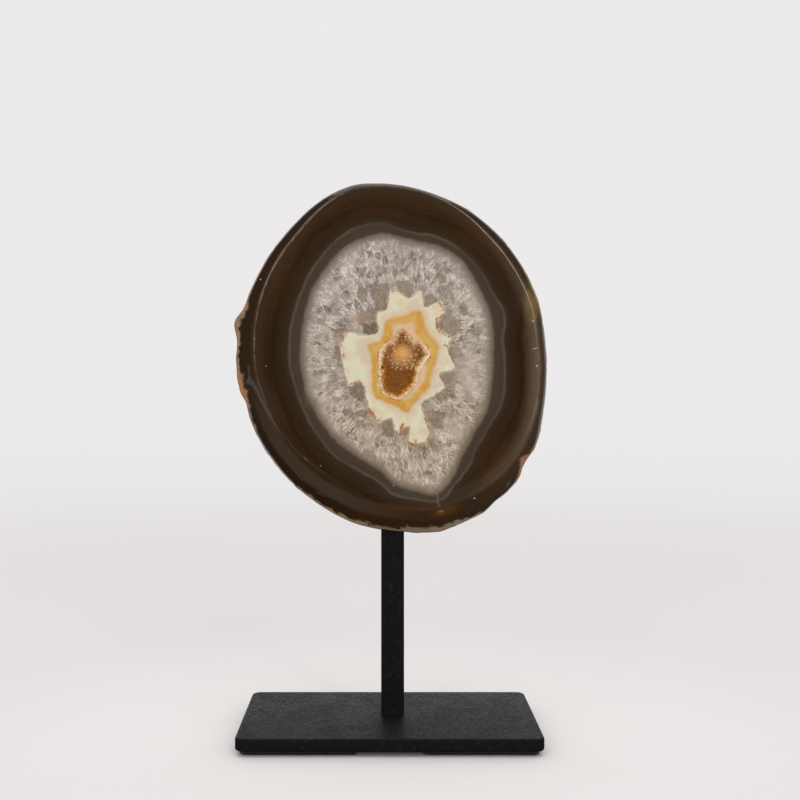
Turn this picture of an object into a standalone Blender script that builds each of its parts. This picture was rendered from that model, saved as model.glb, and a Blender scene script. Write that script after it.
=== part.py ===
"""A polished agate geode on a black steel stand.

Metres, +Z up. The origin is on the table under the middle of the object, and the
polished face looks towards -Y. The stone is one solid, its pocket is lined by a
crust of small crystals, and a hidden dowel holds it on the post of the stand.
"""
import math

import bmesh
import bpy
import numpy as np
from mathutils import Vector
from mathutils.geometry import delaunay_2d_cdt

MM = 0.001
GAP = 0.3 * MM

# The stand: a steel plate on two felt pads, with a square post a little behind its middle.
PLATE_WIDTH = 120 * MM
PLATE_DEPTH = 60 * MM
PLATE_THICKNESS = 5 * MM
PLATE_CORNER = 3.5 * MM
PLATE_EDGE = 0.7 * MM
PLATE_X = -0.8 * MM
PAD_LENGTH = 46 * MM
PAD_DEPTH = 55 * MM
PAD_THICKNESS = 1.8 * MM
PAD_CORNER = 2.5 * MM
PAD_INSET = 1.6 * MM
POST_SIDE = 9.5 * MM
POST_EDGE = 0.5 * MM
POST_X = 0.7 * MM
POST_Y = 4.05 * MM

# The dowel between the post and the stone.
PIN_DIAMETER = 5 * MM
PIN_IN_POST = 12 * MM
PIN_IN_STONE = 18 * MM
PIN_SIDES = 20
HOLE_DIAMETER = PIN_DIAMETER + 2 * GAP

# The stone: a thick half nodule, 34 mm through, standing on edge.
STONE_Z = 154.3 * MM
FACE_Y = -8 * MM
BACK_Y = 26 * MM
SEAT_Z = 84.6 * MM
NET = 30

# Outline of the stone seen from the front, right side first, as (across, up) from its centre.
STONE_OUTLINE = [
    (64.8, -2), (63.8, 10), (62.0, 21.2), (58.4, 30.8), (53.3, 40.1), (46.9, 48.7),
    (39.3, 56.1), (31.8, 61.7), (23.2, 66.1), (13.5, 69.6), (4.0, 71.8), (-6.0, 72.5),
    (-16.0, 71.7), (-26.5, 67.1), (-35.1, 60.7), (-43.6, 51.8), (-51.2, 41.8), (-58.4, 28.0),
    (-62.8, 15.0), (-64.3, 2.6), (-64.2, -5.0), (-62.9, -13.7), (-56.1, -31.8), (-48.7, -43.6),
    (-40.1, -53.3), (-29.4, -61.4), (-16.8, -68.3), (-4.0, -71.5), (5.6, -72.6), (13.5, -72.9),
    (22.2, -71.8), (37.2, -65.3), (44.8, -59.5), (51.9, -52.3), (57.8, -43.2), (61.6, -33.6),
    (63.5, -23.0), (64.6, -12.0),
]

# Rounded shoulder of the polished face, every 45 degrees from the right: its width, seen from
# the front, and how far it runs back.
SHOULDER_WIDTH = [4.0, 3.2, 2.4, 3.4, 6.6, 8.0, 7.2, 11.0]
SHOULDER_DEPTH = [4.5, 3.5, 3.0, 3.5, 5.0, 7.5, 8.0, 8.0]
SHOULDER_STEPS = 5
POLISH_RIM = 0.9 * MM

# The natural side runs straight back for a little way, as (behind the shoulder, inside the
# outline), and then rounds over like a dome. Rings make its edge, and a square net its middle.
SIDE_RINGS = [(1.5, 0.35), (4.0, 0.0), (6.5, 0.1)]
DOME_FULLNESS = 0.66
DOME_RING_STEP = 7
DOME_RINGS = 8

# Skin of the nodule: rolling lumps as (wavelength, height), and broad worn hollows on the back
# as (across, up, radius, depth).
LUMPS = [(34, 0.75), (21, 0.5), (13, 0.3)]
WAVES_PER_LUMP = 3
WORN_HOLLOWS = [(-24, 26, 21, 2.6), (30, -20, 19, 2.2), (12, 47, 15, 1.8), (-30, -34, 16, 1.6)]

# Broken places of the rim: (angle in degrees, outward in mm, half width in degrees).
RIM_CHIPS = [(167.0, 2.4, 4.5), (197.0, -0.9, 4.0), (322.5, -1.9, 4.0), (306.0, -0.6, 3.5)]

# Mouth of the pocket in the polished face, as (across, up) from the stone's centre.
POCKET_MOUTH = [
    (15.7, 1.0), (14.9, 3.8), (11.7, 6.9), (8.0, 8.5), (4.4, 11.6), (1.6, 8.9), (-2.2, 6.0),
    (-4.6, 3.4), (-5.0, -1.4), (-4.8, -7.1), (-4.6, -12.0), (-2.8, -15.0), (0.8, -16.2),
    (4.4, -16.7), (7.3, -13.7), (10.4, -10.4), (11.3, -6.3), (13.3, -2.3),
]
POCKET_X = 5.0 * MM
POCKET_Z = -3.0 * MM
POCKET_DEPTH = 13 * MM
POCKET_SIDES = 48
POCKET_STEPS = 7

# Crystals that line the pocket, with a rounded crystal-covered lump in its upper half.
CRYSTAL_SPACING = 1.75 * MM
CRYSTAL_HEIGHT = 0.95 * MM
CRYSTAL_MARGIN = 0.75 * MM
RIM_SINK = 0.25 * MM
FLOOR_DEPTH = 8.5 * MM
WALL_SLOPE = 1.9 * MM
LUMP_X = 4.6 * MM
LUMP_Z = 2.0 * MM
LUMP_RADIUS = 6.6 * MM
LUMP_TOP_DEPTH = 3.2 * MM

# Levels that follow from the sizes above.
PLATE_BOTTOM = PAD_THICKNESS + GAP
PLATE_TOP = PLATE_BOTTOM + PLATE_THICKNESS
POST_BOTTOM = PLATE_TOP + GAP
PIN_BOTTOM = SEAT_Z - PIN_IN_POST
PIN_TOP = SEAT_Z + PIN_IN_STONE


def clear_scene():
    for old in list(bpy.data.objects):
        bpy.data.objects.remove(old, do_unlink=True)


def plain_material(name, colour, roughness, metallic=0.0, coat=0.0):
    material = bpy.data.materials.new(name)
    material.use_nodes = True
    shader = material.node_tree.nodes["Principled BSDF"]
    shader.inputs["Base Color"].default_value = (*colour, 1.0)
    shader.inputs["Roughness"].default_value = roughness
    shader.inputs["Metallic"].default_value = metallic
    shader.inputs["Coat Weight"].default_value = coat
    return material


def black_paint():
    return plain_material("black_paint", (0.016, 0.016, 0.017), 0.45)


def black_felt():
    return plain_material("black_felt", (0.010, 0.010, 0.011), 0.95)


def bare_steel():
    return plain_material("bare_steel", (0.55, 0.55, 0.56), 0.35, metallic=1.0)


def polished_agate():
    return plain_material("polished_agate", (0.055, 0.030, 0.014), 0.12, coat=0.6)


def golden_druse():
    return plain_material("golden_druse", (0.46, 0.24, 0.07), 0.30)


def object_from_bmesh(name, mesh_builder, material):
    bmesh.ops.recalc_face_normals(mesh_builder, faces=mesh_builder.faces)
    mesh = bpy.data.meshes.new(name)
    mesh_builder.to_mesh(mesh)
    mesh_builder.free()
    mesh.materials.append(material)
    piece = bpy.data.objects.new(name, mesh)
    bpy.context.scene.collection.objects.link(piece)
    return piece


def shade_round(piece, sharp_degrees=30):
    piece.data.shade_smooth()
    piece.data.set_sharp_from_angle(angle=math.radians(sharp_degrees))


def box_mesh(width, depth, height):
    """A box on the origin's plane, centred in X and Y, its foot at z = 0."""
    builder = bmesh.new()
    bmesh.ops.create_cube(builder, size=1.0)
    bmesh.ops.translate(builder, vec=(0, 0, 0.5), verts=builder.verts)
    bmesh.ops.scale(builder, vec=(width, depth, height), verts=builder.verts)
    return builder


def round_upright_edges(builder, radius, segments):
    upright = [edge for edge in builder.edges
               if abs(edge.verts[0].co.z - edge.verts[1].co.z) > 1e-6]
    bmesh.ops.bevel(builder, geom=upright, offset=radius, segments=segments, affect="EDGES",
                    profile=0.5)


def round_level_edges(builder, radius, segments):
    level = [edge for edge in builder.edges
             if len(edge.link_faces) == 2 and edge.calc_face_angle() > math.radians(60)]
    bmesh.ops.bevel(builder, geom=level, offset=radius, segments=segments, affect="EDGES",
                    profile=0.5)


def cut(piece, cutter):
    """Takes the cutter's shape out of the piece and hides the cutter."""
    cutter.hide_render = True
    cutter.display_type = "WIRE"
    modifier = piece.modifiers.new("cut_" + cutter.name, "BOOLEAN")
    modifier.operation = "DIFFERENCE"
    modifier.solver = "EXACT"
    modifier.object = cutter


def closed_curve(points, count):
    """Evenly numbered points on a smooth closed curve through the given (across, up) points."""
    corners = np.array(points, dtype=float)
    result = []
    for step in range(count):
        place = step / count * len(corners)
        first = int(place)
        t = place - first
        a, b, c, d = (corners[(first + k) % len(corners)] for k in (-1, 0, 1, 2))
        result.append(0.5 * (2 * b + (c - a) * t + (2 * a - 5 * b + 4 * c - d) * t ** 2
                             + (3 * b - a - 3 * c + d) * t ** 3))
    return np.array(result)


def radius_by_angle(points, centre):
    """A function that gives the outline's distance from the centre at any angle."""
    curve = closed_curve(points, 20 * len(points)) - np.array(centre)
    angles = np.arctan2(curve[:, 1], curve[:, 0])
    order = np.argsort(angles)
    radii = np.hypot(curve[:, 0], curve[:, 1])[order]
    angles = angles[order]

    def radius(angle):
        wrapped = (angle + math.pi) % (2 * math.pi) - math.pi
        return float(np.interp(wrapped, angles, radii, period=2 * math.pi)) * MM

    return radius


def around_rim(values, angle):
    """A smooth value at this angle from eight values spaced 45 degrees apart."""
    place = (angle / math.radians(45)) % len(values)
    first = int(place)
    t = place - first
    ease = t * t * (3 - 2 * t)
    low = values[first]
    high = values[(first + 1) % len(values)]
    return (low + (high - low) * ease) * MM


def rim_chip(angle):
    """Outward offset of the rim where it is chipped or a knob stands out."""
    total = 0.0
    for degrees, outward, half_width in RIM_CHIPS:
        off = (math.degrees(angle) - degrees + 180) % 360 - 180
        total += outward * MM * math.exp(-(off / half_width) ** 2 * 1.4)
    return total


def lump_waves():
    """Directions, lengths, heights and phases of the waves that make the skin's lumps."""
    draw = np.random.default_rng(11)
    waves = []
    for length, height in LUMPS:
        for _ in range(WAVES_PER_LUMP):
            direction = Vector(draw.normal(size=3)).normalized()
            phase = draw.uniform(0, 2 * math.pi)
            waves.append((direction * (2 * math.pi / (length * MM)), height * MM, phase))
    return waves


def skin_height(point, waves):
    """How far the skin stands out at a point of the side or back, given from the stone's centre."""
    height = sum(rise * math.sin(point.dot(direction) + phase) for direction, rise, phase in waves)
    for across, up, radius, depth in WORN_HOLLOWS:
        off = math.hypot(point.x - across * MM, point.z - up * MM) / (radius * MM)
        height -= depth * MM * math.exp(-2 * off * off)
    return height


def shoulder_ring(turn, angles, outline):
    """A ring on the rounded polished edge: turn 0 is the flat face, a quarter turn the side."""
    ring = []
    for angle in angles:
        width = around_rim(SHOULDER_WIDTH, angle) - POLISH_RIM
        depth = around_rim(SHOULDER_DEPTH, angle)
        inset = POLISH_RIM + width * (1 - math.sin(turn))
        radius = outline(angle) - inset + rim_chip(angle) * math.sin(turn)
        y = FACE_Y + depth * (1 - math.cos(turn))
        ring.append(Vector((radius * math.cos(angle), y, radius * math.sin(angle))))
    return ring


def side_ring(behind, inset, angles, outline):
    """A ring on the natural side, this far behind the shoulder and inside the outline."""
    ring = []
    for angle in angles:
        radius = outline(angle) - inset + rim_chip(angle)
        y = FACE_Y + around_rim(SHOULDER_DEPTH, angle) + behind
        ring.append(Vector((radius * math.cos(angle), y, radius * math.sin(angle))))
    return ring


def rim_angles():
    """Angles of the rings' points: those at which the square net of the back meets a circle."""
    angles = []
    for side in range(4):
        for k in range(NET):
            across = 2 * k / NET - 1
            angles.append(side * math.pi / 2 + math.asin(across * math.sqrt(0.5)))
    return angles


def dome_point(angle, turn, outline, waves):
    """A point of the back: turn 0 is the side's last ring, a quarter turn the middle."""
    start_y = FACE_Y + around_rim(SHOULDER_DEPTH, angle) + SIDE_RINGS[-1][0] * MM
    rim = outline(angle) - SIDE_RINGS[-1][1] * MM + rim_chip(angle)
    radius = rim * math.cos(turn) ** DOME_FULLNESS
    smooth = Vector((radius * math.cos(angle), start_y + (BACK_Y - start_y) * math.sin(turn),
                     radius * math.sin(angle)))
    outward = Vector((math.cos(angle) * math.cos(turn), math.sin(turn),
                      math.sin(angle) * math.cos(turn)))
    return smooth + outward * skin_height(smooth, waves) * math.sin(turn) ** 0.5


def back_net(last_turn, outline, waves):
    """Rows of points over the middle of the back, inside the ring at the last turn."""
    rows = []
    for row in range(1, NET):
        up = 2 * row / NET - 1
        points = []
        for column in range(1, NET):
            across = 2 * column / NET - 1
            x = across * math.sqrt(1 - up * up / 2)
            z = up * math.sqrt(1 - across * across / 2)
            reach = min(1.0, math.hypot(x, z))
            turn = math.acos(reach ** (1 / DOME_FULLNESS) * math.cos(last_turn))
            points.append(dome_point(math.atan2(z, x), turn, outline, waves))
        rows.append(points)
    return rows


def add_net(builder, rim, rows):
    """Fills a ring of four times NET points, which starts at its lower right corner."""
    inner = [[builder.verts.new(point) for point in row] for row in rows]
    right = rim[:NET + 1]
    top = rim[NET:2 * NET + 1][::-1]
    left = rim[2 * NET:3 * NET + 1][::-1]
    bottom = rim[3 * NET:] + rim[:1]
    net = [bottom]
    for k, row in enumerate(inner, start=1):
        net.append([left[k]] + row + [right[k]])
    net.append(top)
    for lower, upper in zip(net, net[1:]):
        for k in range(NET):
            builder.faces.new((lower[k], lower[k + 1], upper[k + 1], upper[k]))


def add_rings(builder, rings):
    """Skins a row of rings and returns their vertices."""
    rows = [[builder.verts.new(point) for point in ring] for ring in rings]
    count = len(rows[0])
    for near, far in zip(rows, rows[1:]):
        for k in range(count):
            builder.faces.new((near[k], near[(k + 1) % count], far[(k + 1) % count], far[k]))
    return rows


def close_with_tip(builder, row, tip):
    point = builder.verts.new(tip)
    for k, vert in enumerate(row):
        builder.faces.new((vert, row[(k + 1) % len(row)], point))


def pocket_ring(turn, shrink):
    """One ring of the pocket's wall: turn 0 is its mouth, a quarter turn its bottom."""
    mouth = radius_by_angle(POCKET_MOUTH, (POCKET_X / MM, POCKET_Z / MM))
    narrow = math.cos(turn) ** 0.45
    y = FACE_Y + (POCKET_DEPTH - shrink) * math.sin(turn) ** 0.9
    ring = []
    for k in range(POCKET_SIDES):
        angle = 2 * math.pi * k / POCKET_SIDES
        radius = (mouth(angle) - shrink) * narrow
        ring.append(Vector((POCKET_X + radius * math.cos(angle), y,
                            STONE_Z + POCKET_Z + radius * math.sin(angle))))
    return ring


def pocket_rings(shrink):
    quarter = math.pi / 2
    turns = [quarter * step / POCKET_STEPS for step in range(POCKET_STEPS)]
    turns.append(quarter * (1 - 0.25 / POCKET_STEPS))
    return [pocket_ring(turn, shrink) for turn in turns]


def pocket_bottom(shrink):
    return Vector((POCKET_X, FACE_Y + POCKET_DEPTH - shrink, STONE_Z + POCKET_Z))


def make_pocket_cutter(material):
    """The pocket's shape, drawn out a little in front of the face so that it cuts cleanly."""
    rings = pocket_rings(0.0)
    front = [Vector((point.x, point.y - 3 * MM, point.z)) for point in rings[0]]
    builder = bmesh.new()
    rows = add_rings(builder, [front] + rings)
    builder.faces.new(rows[0])
    close_with_tip(builder, rows[-1], pocket_bottom(0.0))
    return object_from_bmesh("pocket_cutter", builder, material)


def make_hole_cutter(name, material):
    builder = bmesh.new()
    bmesh.ops.create_cone(builder, cap_ends=True, segments=PIN_SIDES, radius1=HOLE_DIAMETER / 2,
                          radius2=HOLE_DIAMETER / 2, depth=PIN_TOP - PIN_BOTTOM + 2 * GAP)
    cutter = object_from_bmesh(name, builder, material)
    cutter.location = (POST_X, POST_Y, (PIN_TOP + PIN_BOTTOM) / 2)
    return cutter


def make_seat_cutter(material):
    """The small flat seat ground into the underside of the stone for the top of the post."""
    side = POST_SIDE + 2 * GAP
    cutter = object_from_bmesh("seat_cutter", box_mesh(side, side, 10 * MM), material)
    cutter.location = (POST_X, POST_Y, SEAT_Z + GAP - 10 * MM)
    return cutter


def make_stone():
    outline = radius_by_angle(STONE_OUTLINE, (0, 0))
    angles = rim_angles()
    waves = lump_waves()
    quarter = math.pi / 2
    rings = [shoulder_ring(quarter * step / SHOULDER_STEPS, angles, outline)
             for step in range(SHOULDER_STEPS + 1)]
    rings += [side_ring(behind * MM, inset * MM, angles, outline) for behind, inset in SIDE_RINGS]
    turns = [math.radians(DOME_RING_STEP * step) for step in range(1, DOME_RINGS + 1)]
    rings += [[dome_point(angle, turn, outline, waves) for angle in angles] for turn in turns]

    builder = bmesh.new()
    rows = add_rings(builder, rings)
    builder.faces.new(rows[0])
    add_net(builder, rows[-1], back_net(turns[-1], outline, waves))
    bmesh.ops.translate(builder, vec=(0, 0, STONE_Z), verts=builder.verts)
    material = polished_agate()
    stone = object_from_bmesh("stone", builder, material)
    shade_round(stone)
    cut(stone, make_pocket_cutter(material))
    cut(stone, make_seat_cutter(material))
    cut(stone, make_hole_cutter("stone_hole_cutter", material))
    return stone


def distance_inside(point, loop):
    """Distance from a point to a closed loop, negative outside it."""
    best = math.inf
    inside = False
    for a, b in zip(loop, loop[1:] + loop[:1]):
        edge = b - a
        t = max(0.0, min(1.0, (point - a).dot(edge) / edge.length_squared))
        best = min(best, (point - a - edge * t).length)
        if (a.y > point.y) != (b.y > point.y):
            if point.x < a.x + (point.y - a.y) / (b.y - a.y) * (b.x - a.x):
                inside = not inside
    return best if inside else -best


def crust_depth(point, loop):
    """How far behind the face the lining lies at an (across, up) point, before its crystals."""
    wall = max(0.0, distance_inside(point, loop))
    floor = RIM_SINK + (FLOOR_DEPTH - RIM_SINK) * (1 - math.exp(-wall / WALL_SLOPE))
    off = math.hypot(point.x - LUMP_X, point.y - LUMP_Z) / LUMP_RADIUS
    if off >= 1:
        return floor
    lump = FLOOR_DEPTH - (FLOOR_DEPTH - LUMP_TOP_DEPTH) * math.sqrt(1 - off * off)
    return min(floor, lump)


def crystal_grid(loop):
    """Feet and tips of the crystals: a honeycomb, shaken a little, that stays off the rim."""
    shake = np.random.default_rng(7)
    step = CRYSTAL_SPACING / math.sqrt(3)
    reach = range(-30, 31)
    points = []
    heights = []
    for row in reach:
        for column in reach:
            across = (column + row / 2) * step
            up = row * step * math.sqrt(3) / 2
            move = Vector(shake.uniform(-0.14, 0.14, 2)) * CRYSTAL_SPACING
            height = shake.uniform(0.55, 1.15) * CRYSTAL_HEIGHT
            point = Vector((POCKET_X + across, POCKET_Z + up)) + move
            if distance_inside(point, loop) < CRYSTAL_MARGIN:
                continue
            points.append(point)
            heights.append(height if (column - row) % 3 == 0 else 0.0)
    return points, heights


def crust_normal(place, loop):
    """Direction in which a crystal grows out of the lining at an (across, up) point."""
    step = 0.3 * MM
    slopes = []
    for side in (Vector((step, 0)), Vector((0, step))):
        rise = crust_depth(place + side, loop) - crust_depth(place - side, loop)
        slopes.append(rise / (2 * step))
    return Vector((slopes[0], -1.0, slopes[1])).normalized()


def make_crystal_crust():
    rings = pocket_rings(GAP)
    for point in rings[0]:
        point.y += RIM_SINK
    rim = [Vector((point.x, point.z - STONE_Z)) for point in rings[0]]
    points, heights = crystal_grid(rim)
    count = len(rim)
    places, _, faces, sources, _, _ = delaunay_2d_cdt(rim + points, [], [range(count)], 1, 1e-7)
    heights = [0.0] * count + heights

    builder = bmesh.new()
    verts = []
    row = [None] * count
    for place, source in zip(places, sources):
        on_rim = source[0] < count
        depth = RIM_SINK if on_rim else crust_depth(place, rim)
        foot = Vector((place.x, FACE_Y + depth, STONE_Z + place.y))
        vert = builder.verts.new(foot + crust_normal(place, rim) * heights[source[0]])
        verts.append(vert)
        if on_rim:
            row[source[0]] = vert
    for face in faces:
        builder.faces.new([verts[index] for index in face])
    for ring in rings[1:]:
        deeper = [builder.verts.new(point) for point in ring]
        for k in range(count):
            builder.faces.new((row[k], row[(k + 1) % count], deeper[(k + 1) % count], deeper[k]))
        row = deeper
    close_with_tip(builder, row, pocket_bottom(GAP))
    return object_from_bmesh("crystal_crust", builder, golden_druse())


def make_base_plate():
    builder = box_mesh(PLATE_WIDTH, PLATE_DEPTH, PLATE_THICKNESS)
    round_upright_edges(builder, PLATE_CORNER, 6)
    round_level_edges(builder, PLATE_EDGE, 2)
    plate = object_from_bmesh("base_plate", builder, black_paint())
    plate.location = (PLATE_X, 0, PLATE_BOTTOM)
    shade_round(plate)
    return plate


def make_post():
    builder = box_mesh(POST_SIDE, POST_SIDE, SEAT_Z - POST_BOTTOM)
    round_upright_edges(builder, POST_EDGE, 3)
    post = object_from_bmesh("post", builder, black_paint())
    post.location = (POST_X, POST_Y, POST_BOTTOM)
    cut(post, make_hole_cutter("post_hole_cutter", post.data.materials[0]))
    return post


def make_pin():
    builder = bmesh.new()
    bmesh.ops.create_cone(builder, cap_ends=True, segments=PIN_SIDES, radius1=PIN_DIAMETER / 2,
                          radius2=PIN_DIAMETER / 2, depth=PIN_TOP - PIN_BOTTOM)
    pin = object_from_bmesh("pin", builder, bare_steel())
    pin.location = (POST_X, POST_Y, (PIN_TOP + PIN_BOTTOM) / 2)
    shade_round(pin)
    return pin


def make_felt_pad(name, side):
    builder = box_mesh(PAD_LENGTH, PAD_DEPTH, PAD_THICKNESS)
    round_upright_edges(builder, PAD_CORNER, 4)
    pad = object_from_bmesh(name, builder, black_felt())
    reach = PLATE_WIDTH / 2 - PAD_INSET - PAD_LENGTH / 2
    pad.location = (PLATE_X + side * reach, 0, 0)
    return pad


clear_scene()
make_base_plate()
make_felt_pad("felt_pad_left", -1)
make_felt_pad("felt_pad_right", 1)
make_post()
make_pin()
make_stone()
make_crystal_crust()
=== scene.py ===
import math

import bmesh
import bpy
import numpy as np
from mathutils import Matrix, Vector, noise


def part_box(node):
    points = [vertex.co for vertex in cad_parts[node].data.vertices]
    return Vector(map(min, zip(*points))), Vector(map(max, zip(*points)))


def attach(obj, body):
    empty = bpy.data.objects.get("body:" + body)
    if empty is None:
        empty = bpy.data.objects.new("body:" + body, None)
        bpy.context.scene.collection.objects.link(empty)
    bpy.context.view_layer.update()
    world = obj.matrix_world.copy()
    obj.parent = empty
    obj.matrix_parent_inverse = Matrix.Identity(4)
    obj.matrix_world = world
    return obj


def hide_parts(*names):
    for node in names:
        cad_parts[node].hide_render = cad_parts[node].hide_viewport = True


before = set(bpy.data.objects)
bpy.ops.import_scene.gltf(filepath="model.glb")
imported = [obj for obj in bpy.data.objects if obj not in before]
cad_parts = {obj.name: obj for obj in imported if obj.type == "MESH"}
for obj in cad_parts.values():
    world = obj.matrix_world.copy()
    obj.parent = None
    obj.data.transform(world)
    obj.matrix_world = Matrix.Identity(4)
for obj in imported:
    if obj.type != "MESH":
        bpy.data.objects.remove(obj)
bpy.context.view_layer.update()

# Felt pads.
# Two strips of black wool felt with rounded corners, glued under the plate so that the stand
# does not scratch a shelf. Each is a slab with soft edges, pressed flat by the stand's weight.
MM = 0.001
PAD_CORNER = 2.5 * MM
PAD_SOFT_EDGE = 0.35 * MM
# The felt's fibres and clumps and how far its nap stands up, in millimetres.
FELT_FIBRE = 0.35
FELT_CLUMP = 2.4
FELT_NAP = 0.25


def linear(red, green, blue):
    """A colour as it is seen, 0 to 255, as Blender's linear light with full alpha."""
    parts = []
    for value in (red, green, blue):
        share = value / 255
        parts.append(share / 12.92 if share <= 0.04045 else ((share + 0.055) / 1.055) ** 2.4)
    return (*parts, 1.0)


def feed(tree, socket, value):
    if isinstance(value, bpy.types.NodeSocket):
        tree.links.new(value, socket)
    else:
        socket.default_value = value


def add(tree, kind, inputs=None, **settings):
    """Adds a shader node with these settings and feeds its inputs with values or sockets."""
    made = tree.nodes.new(kind)
    for name, value in settings.items():
        setattr(made, name, value)
    for key, value in (inputs or {}).items():
        feed(tree, made.inputs[key], value)
    return made


def maths(tree, operation, *values):
    made = add(tree, "ShaderNodeMath", dict(enumerate(values)), operation=operation)
    return made.outputs[0]


def between(tree, value, low, high, out_low=0.0, out_high=1.0):
    """A smooth step: out_low where the value is at low or before it, out_high past high."""
    made = add(tree, "ShaderNodeMapRange", {"Value": value, "From Min": low, "From Max": high,
                                            "To Min": out_low, "To Max": out_high},
               interpolation_type="SMOOTHSTEP")
    return made.outputs["Result"]


def tint(tree, share, base, over, kind="MIX"):
    """Lays the colour over the base by this share."""
    made = add(tree, "ShaderNodeMix", {0: share, 6: base, 7: over}, data_type="RGBA",
               blend_type=kind)
    return made.outputs[2]


def wash(tree, base, colour, value, low, high, least=0.0, most=1.0):
    """Lays a colour, 0 to 255, over the base, from this least to this most share of it."""
    return tint(tree, between(tree, value, low, high, least, most), base, linear(*colour))


def vector_scale(tree, vector, factor):
    made = add(tree, "ShaderNodeVectorMath", {0: vector, "Scale": factor}, operation="SCALE")
    return made.outputs["Vector"]


def millimetres(tree):
    """The piece's own coordinates in millimetres."""
    return vector_scale(tree, add(tree, "ShaderNodeTexCoord").outputs["Object"], 1 / MM)


def grain(tree, place, size, detail=2.0, roughness=0.5, twist=0.0):
    """Noise whose lumps are about this many millimetres wide."""
    made = add(tree, "ShaderNodeTexNoise",
               {"Vector": place, "Scale": 1.0 / size, "Detail": detail, "Roughness": roughness,
                "Distortion": twist})
    return made.outputs["Fac"]


def vector_maths(tree, operation, *values):
    """A vector, or a number where the operation gives a length or a dot product."""
    made = add(tree, "ShaderNodeVectorMath", dict(enumerate(values)), operation=operation)
    return made.outputs["Value" if operation in ("LENGTH", "DOT_PRODUCT") else "Vector"]


def bump(tree, height, depth):
    """A normal pushed about by this height, whose full range is this many millimetres deep."""
    inputs = {"Height": height, "Strength": 1.0, "Distance": depth * MM}
    return add(tree, "ShaderNodeBump", inputs).outputs["Normal"]


def new_finish(name, roughness):
    material = bpy.data.materials.new(name)
    material.use_nodes = True
    shader = material.node_tree.nodes["Principled BSDF"]
    shader.inputs["Roughness"].default_value = roughness
    return material, material.node_tree, shader


def felt_finish():
    material, tree, shader = new_finish("black_wool_felt", 0.95)
    place = millimetres(tree)
    fibres = grain(tree, place, FELT_FIBRE, 4.0, 0.7, 1.5)
    clumps = grain(tree, place, FELT_CLUMP, 2.0)
    wool = tint(tree, fibres, linear(14, 14, 15), linear(44, 43, 44))
    wool = wash(tree, wool, (26, 25, 26), clumps, 0.45, 0.75)
    feed(tree, shader.inputs["Base Color"], wool)
    feed(tree, shader.inputs["Normal"], bump(tree, fibres, FELT_NAP))
    shader.inputs["Specular IOR Level"].default_value = 0.2
    shader.inputs["Sheen Weight"].default_value = 0.4
    shader.inputs["Sheen Roughness"].default_value = 0.5
    return material


def rounded_slab(width, depth, corner, profile, corner_steps=10):
    """A slab with rounded corners. Its profile is (inset, height) pairs from foot to top."""
    builder = bmesh.new()
    rings = []
    for inset, height in profile:
        ring = []
        for quadrant in range(4):
            side_x = 1 if quadrant in (0, 3) else -1
            side_y = 1 if quadrant in (0, 1) else -1
            middle_x = side_x * (width / 2 - corner)
            middle_y = side_y * (depth / 2 - corner)
            for step in range(corner_steps + 1):
                angle = math.pi / 2 * (quadrant + step / corner_steps)
                reach = corner - inset
                ring.append(builder.verts.new((middle_x + reach * math.cos(angle),
                                               middle_y + reach * math.sin(angle), height)))
        rings.append(ring)
    count = len(rings[0])
    for lower, upper in zip(rings, rings[1:]):
        for k in range(count):
            builder.faces.new((lower[k], lower[(k + 1) % count], upper[(k + 1) % count], upper[k]))
    builder.faces.new(rings[0][::-1])
    builder.faces.new(rings[-1])
    return builder


def arc_edge(radius, height, outward_top, steps=5):
    """Profile points of a rounded edge: a top edge ends at this height, a foot starts there."""
    points = []
    for step in range(steps + 1):
        turn = math.pi / 2 * step / steps
        if outward_top:
            points.append((radius * (1 - math.cos(turn)), height - radius * (1 - math.sin(turn))))
        else:
            points.append((radius * (1 - math.sin(turn)), height + radius * (1 - math.cos(turn))))
    return points


def piece_from(name, builder, material, place=(0, 0, 0), sharp_degrees=40):
    """Makes an object whose mesh stands where the piece stands, so that its origin stays at 0."""
    bmesh.ops.translate(builder, vec=place, verts=builder.verts)
    mesh = bpy.data.meshes.new(name)
    builder.to_mesh(mesh)
    builder.free()
    mesh.materials.append(material)
    mesh.shade_smooth()
    mesh.set_sharp_from_angle(angle=math.radians(sharp_degrees))
    piece = bpy.data.objects.new(name, mesh)
    bpy.context.scene.collection.objects.link(piece)
    return piece


plate_low, plate_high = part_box("base_plate")
felt = felt_finish()
for side in ("left", "right"):
    pad_low, pad_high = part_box("felt_pad_" + side)
    pad_middle = (pad_low + pad_high) / 2
    profile = arc_edge(PAD_SOFT_EDGE, 0.0, False) + arc_edge(PAD_SOFT_EDGE, plate_low.z, True)
    slab = rounded_slab(pad_high.x - pad_low.x, pad_high.y - pad_low.y, PAD_CORNER, profile)
    pad = piece_from("felt_" + side, slab, felt, (pad_middle.x, pad_middle.y, 0))
    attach(pad, "root")
    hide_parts("felt_pad_" + side)

# Base plate.
# A 5 mm steel plate, sawn to 120 by 60 mm, its corners and edges ground round, then sprayed
# with satin black paint. The paint has a fine pebble, a few dust specks and faint scuffs.
PLATE_CORNER = 3.5 * MM
PLATE_EDGE = 0.75 * MM
# Sizes of the paint's pebble, mottle, flow and smudges, and the pebble's depth.
PAINT_PEBBLE = 0.55
PAINT_MOTTLE = 1.5
PAINT_FLOW = 3.2
PAINT_SMUDGE = 14.0
PEBBLE_DEPTH = 0.2
# How far apart dust may lie, and which of those places stay clean.
DUST_APART = 3.4
DUST_FREE = 0.80
# Worn hairlines: how far apart, how wide in the noise's own range, and how strong.
WORN_LINES = [(2.2, 0.008, 0.30), (5.5, 0.004, 0.20)]
# A nick by the front left corner, across and back from that corner.
NICK = (2.4, 3.2)
NICK_SIZE = (2.2, 0.3, 1.5)
NICK_TURN = math.radians(50)


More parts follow.
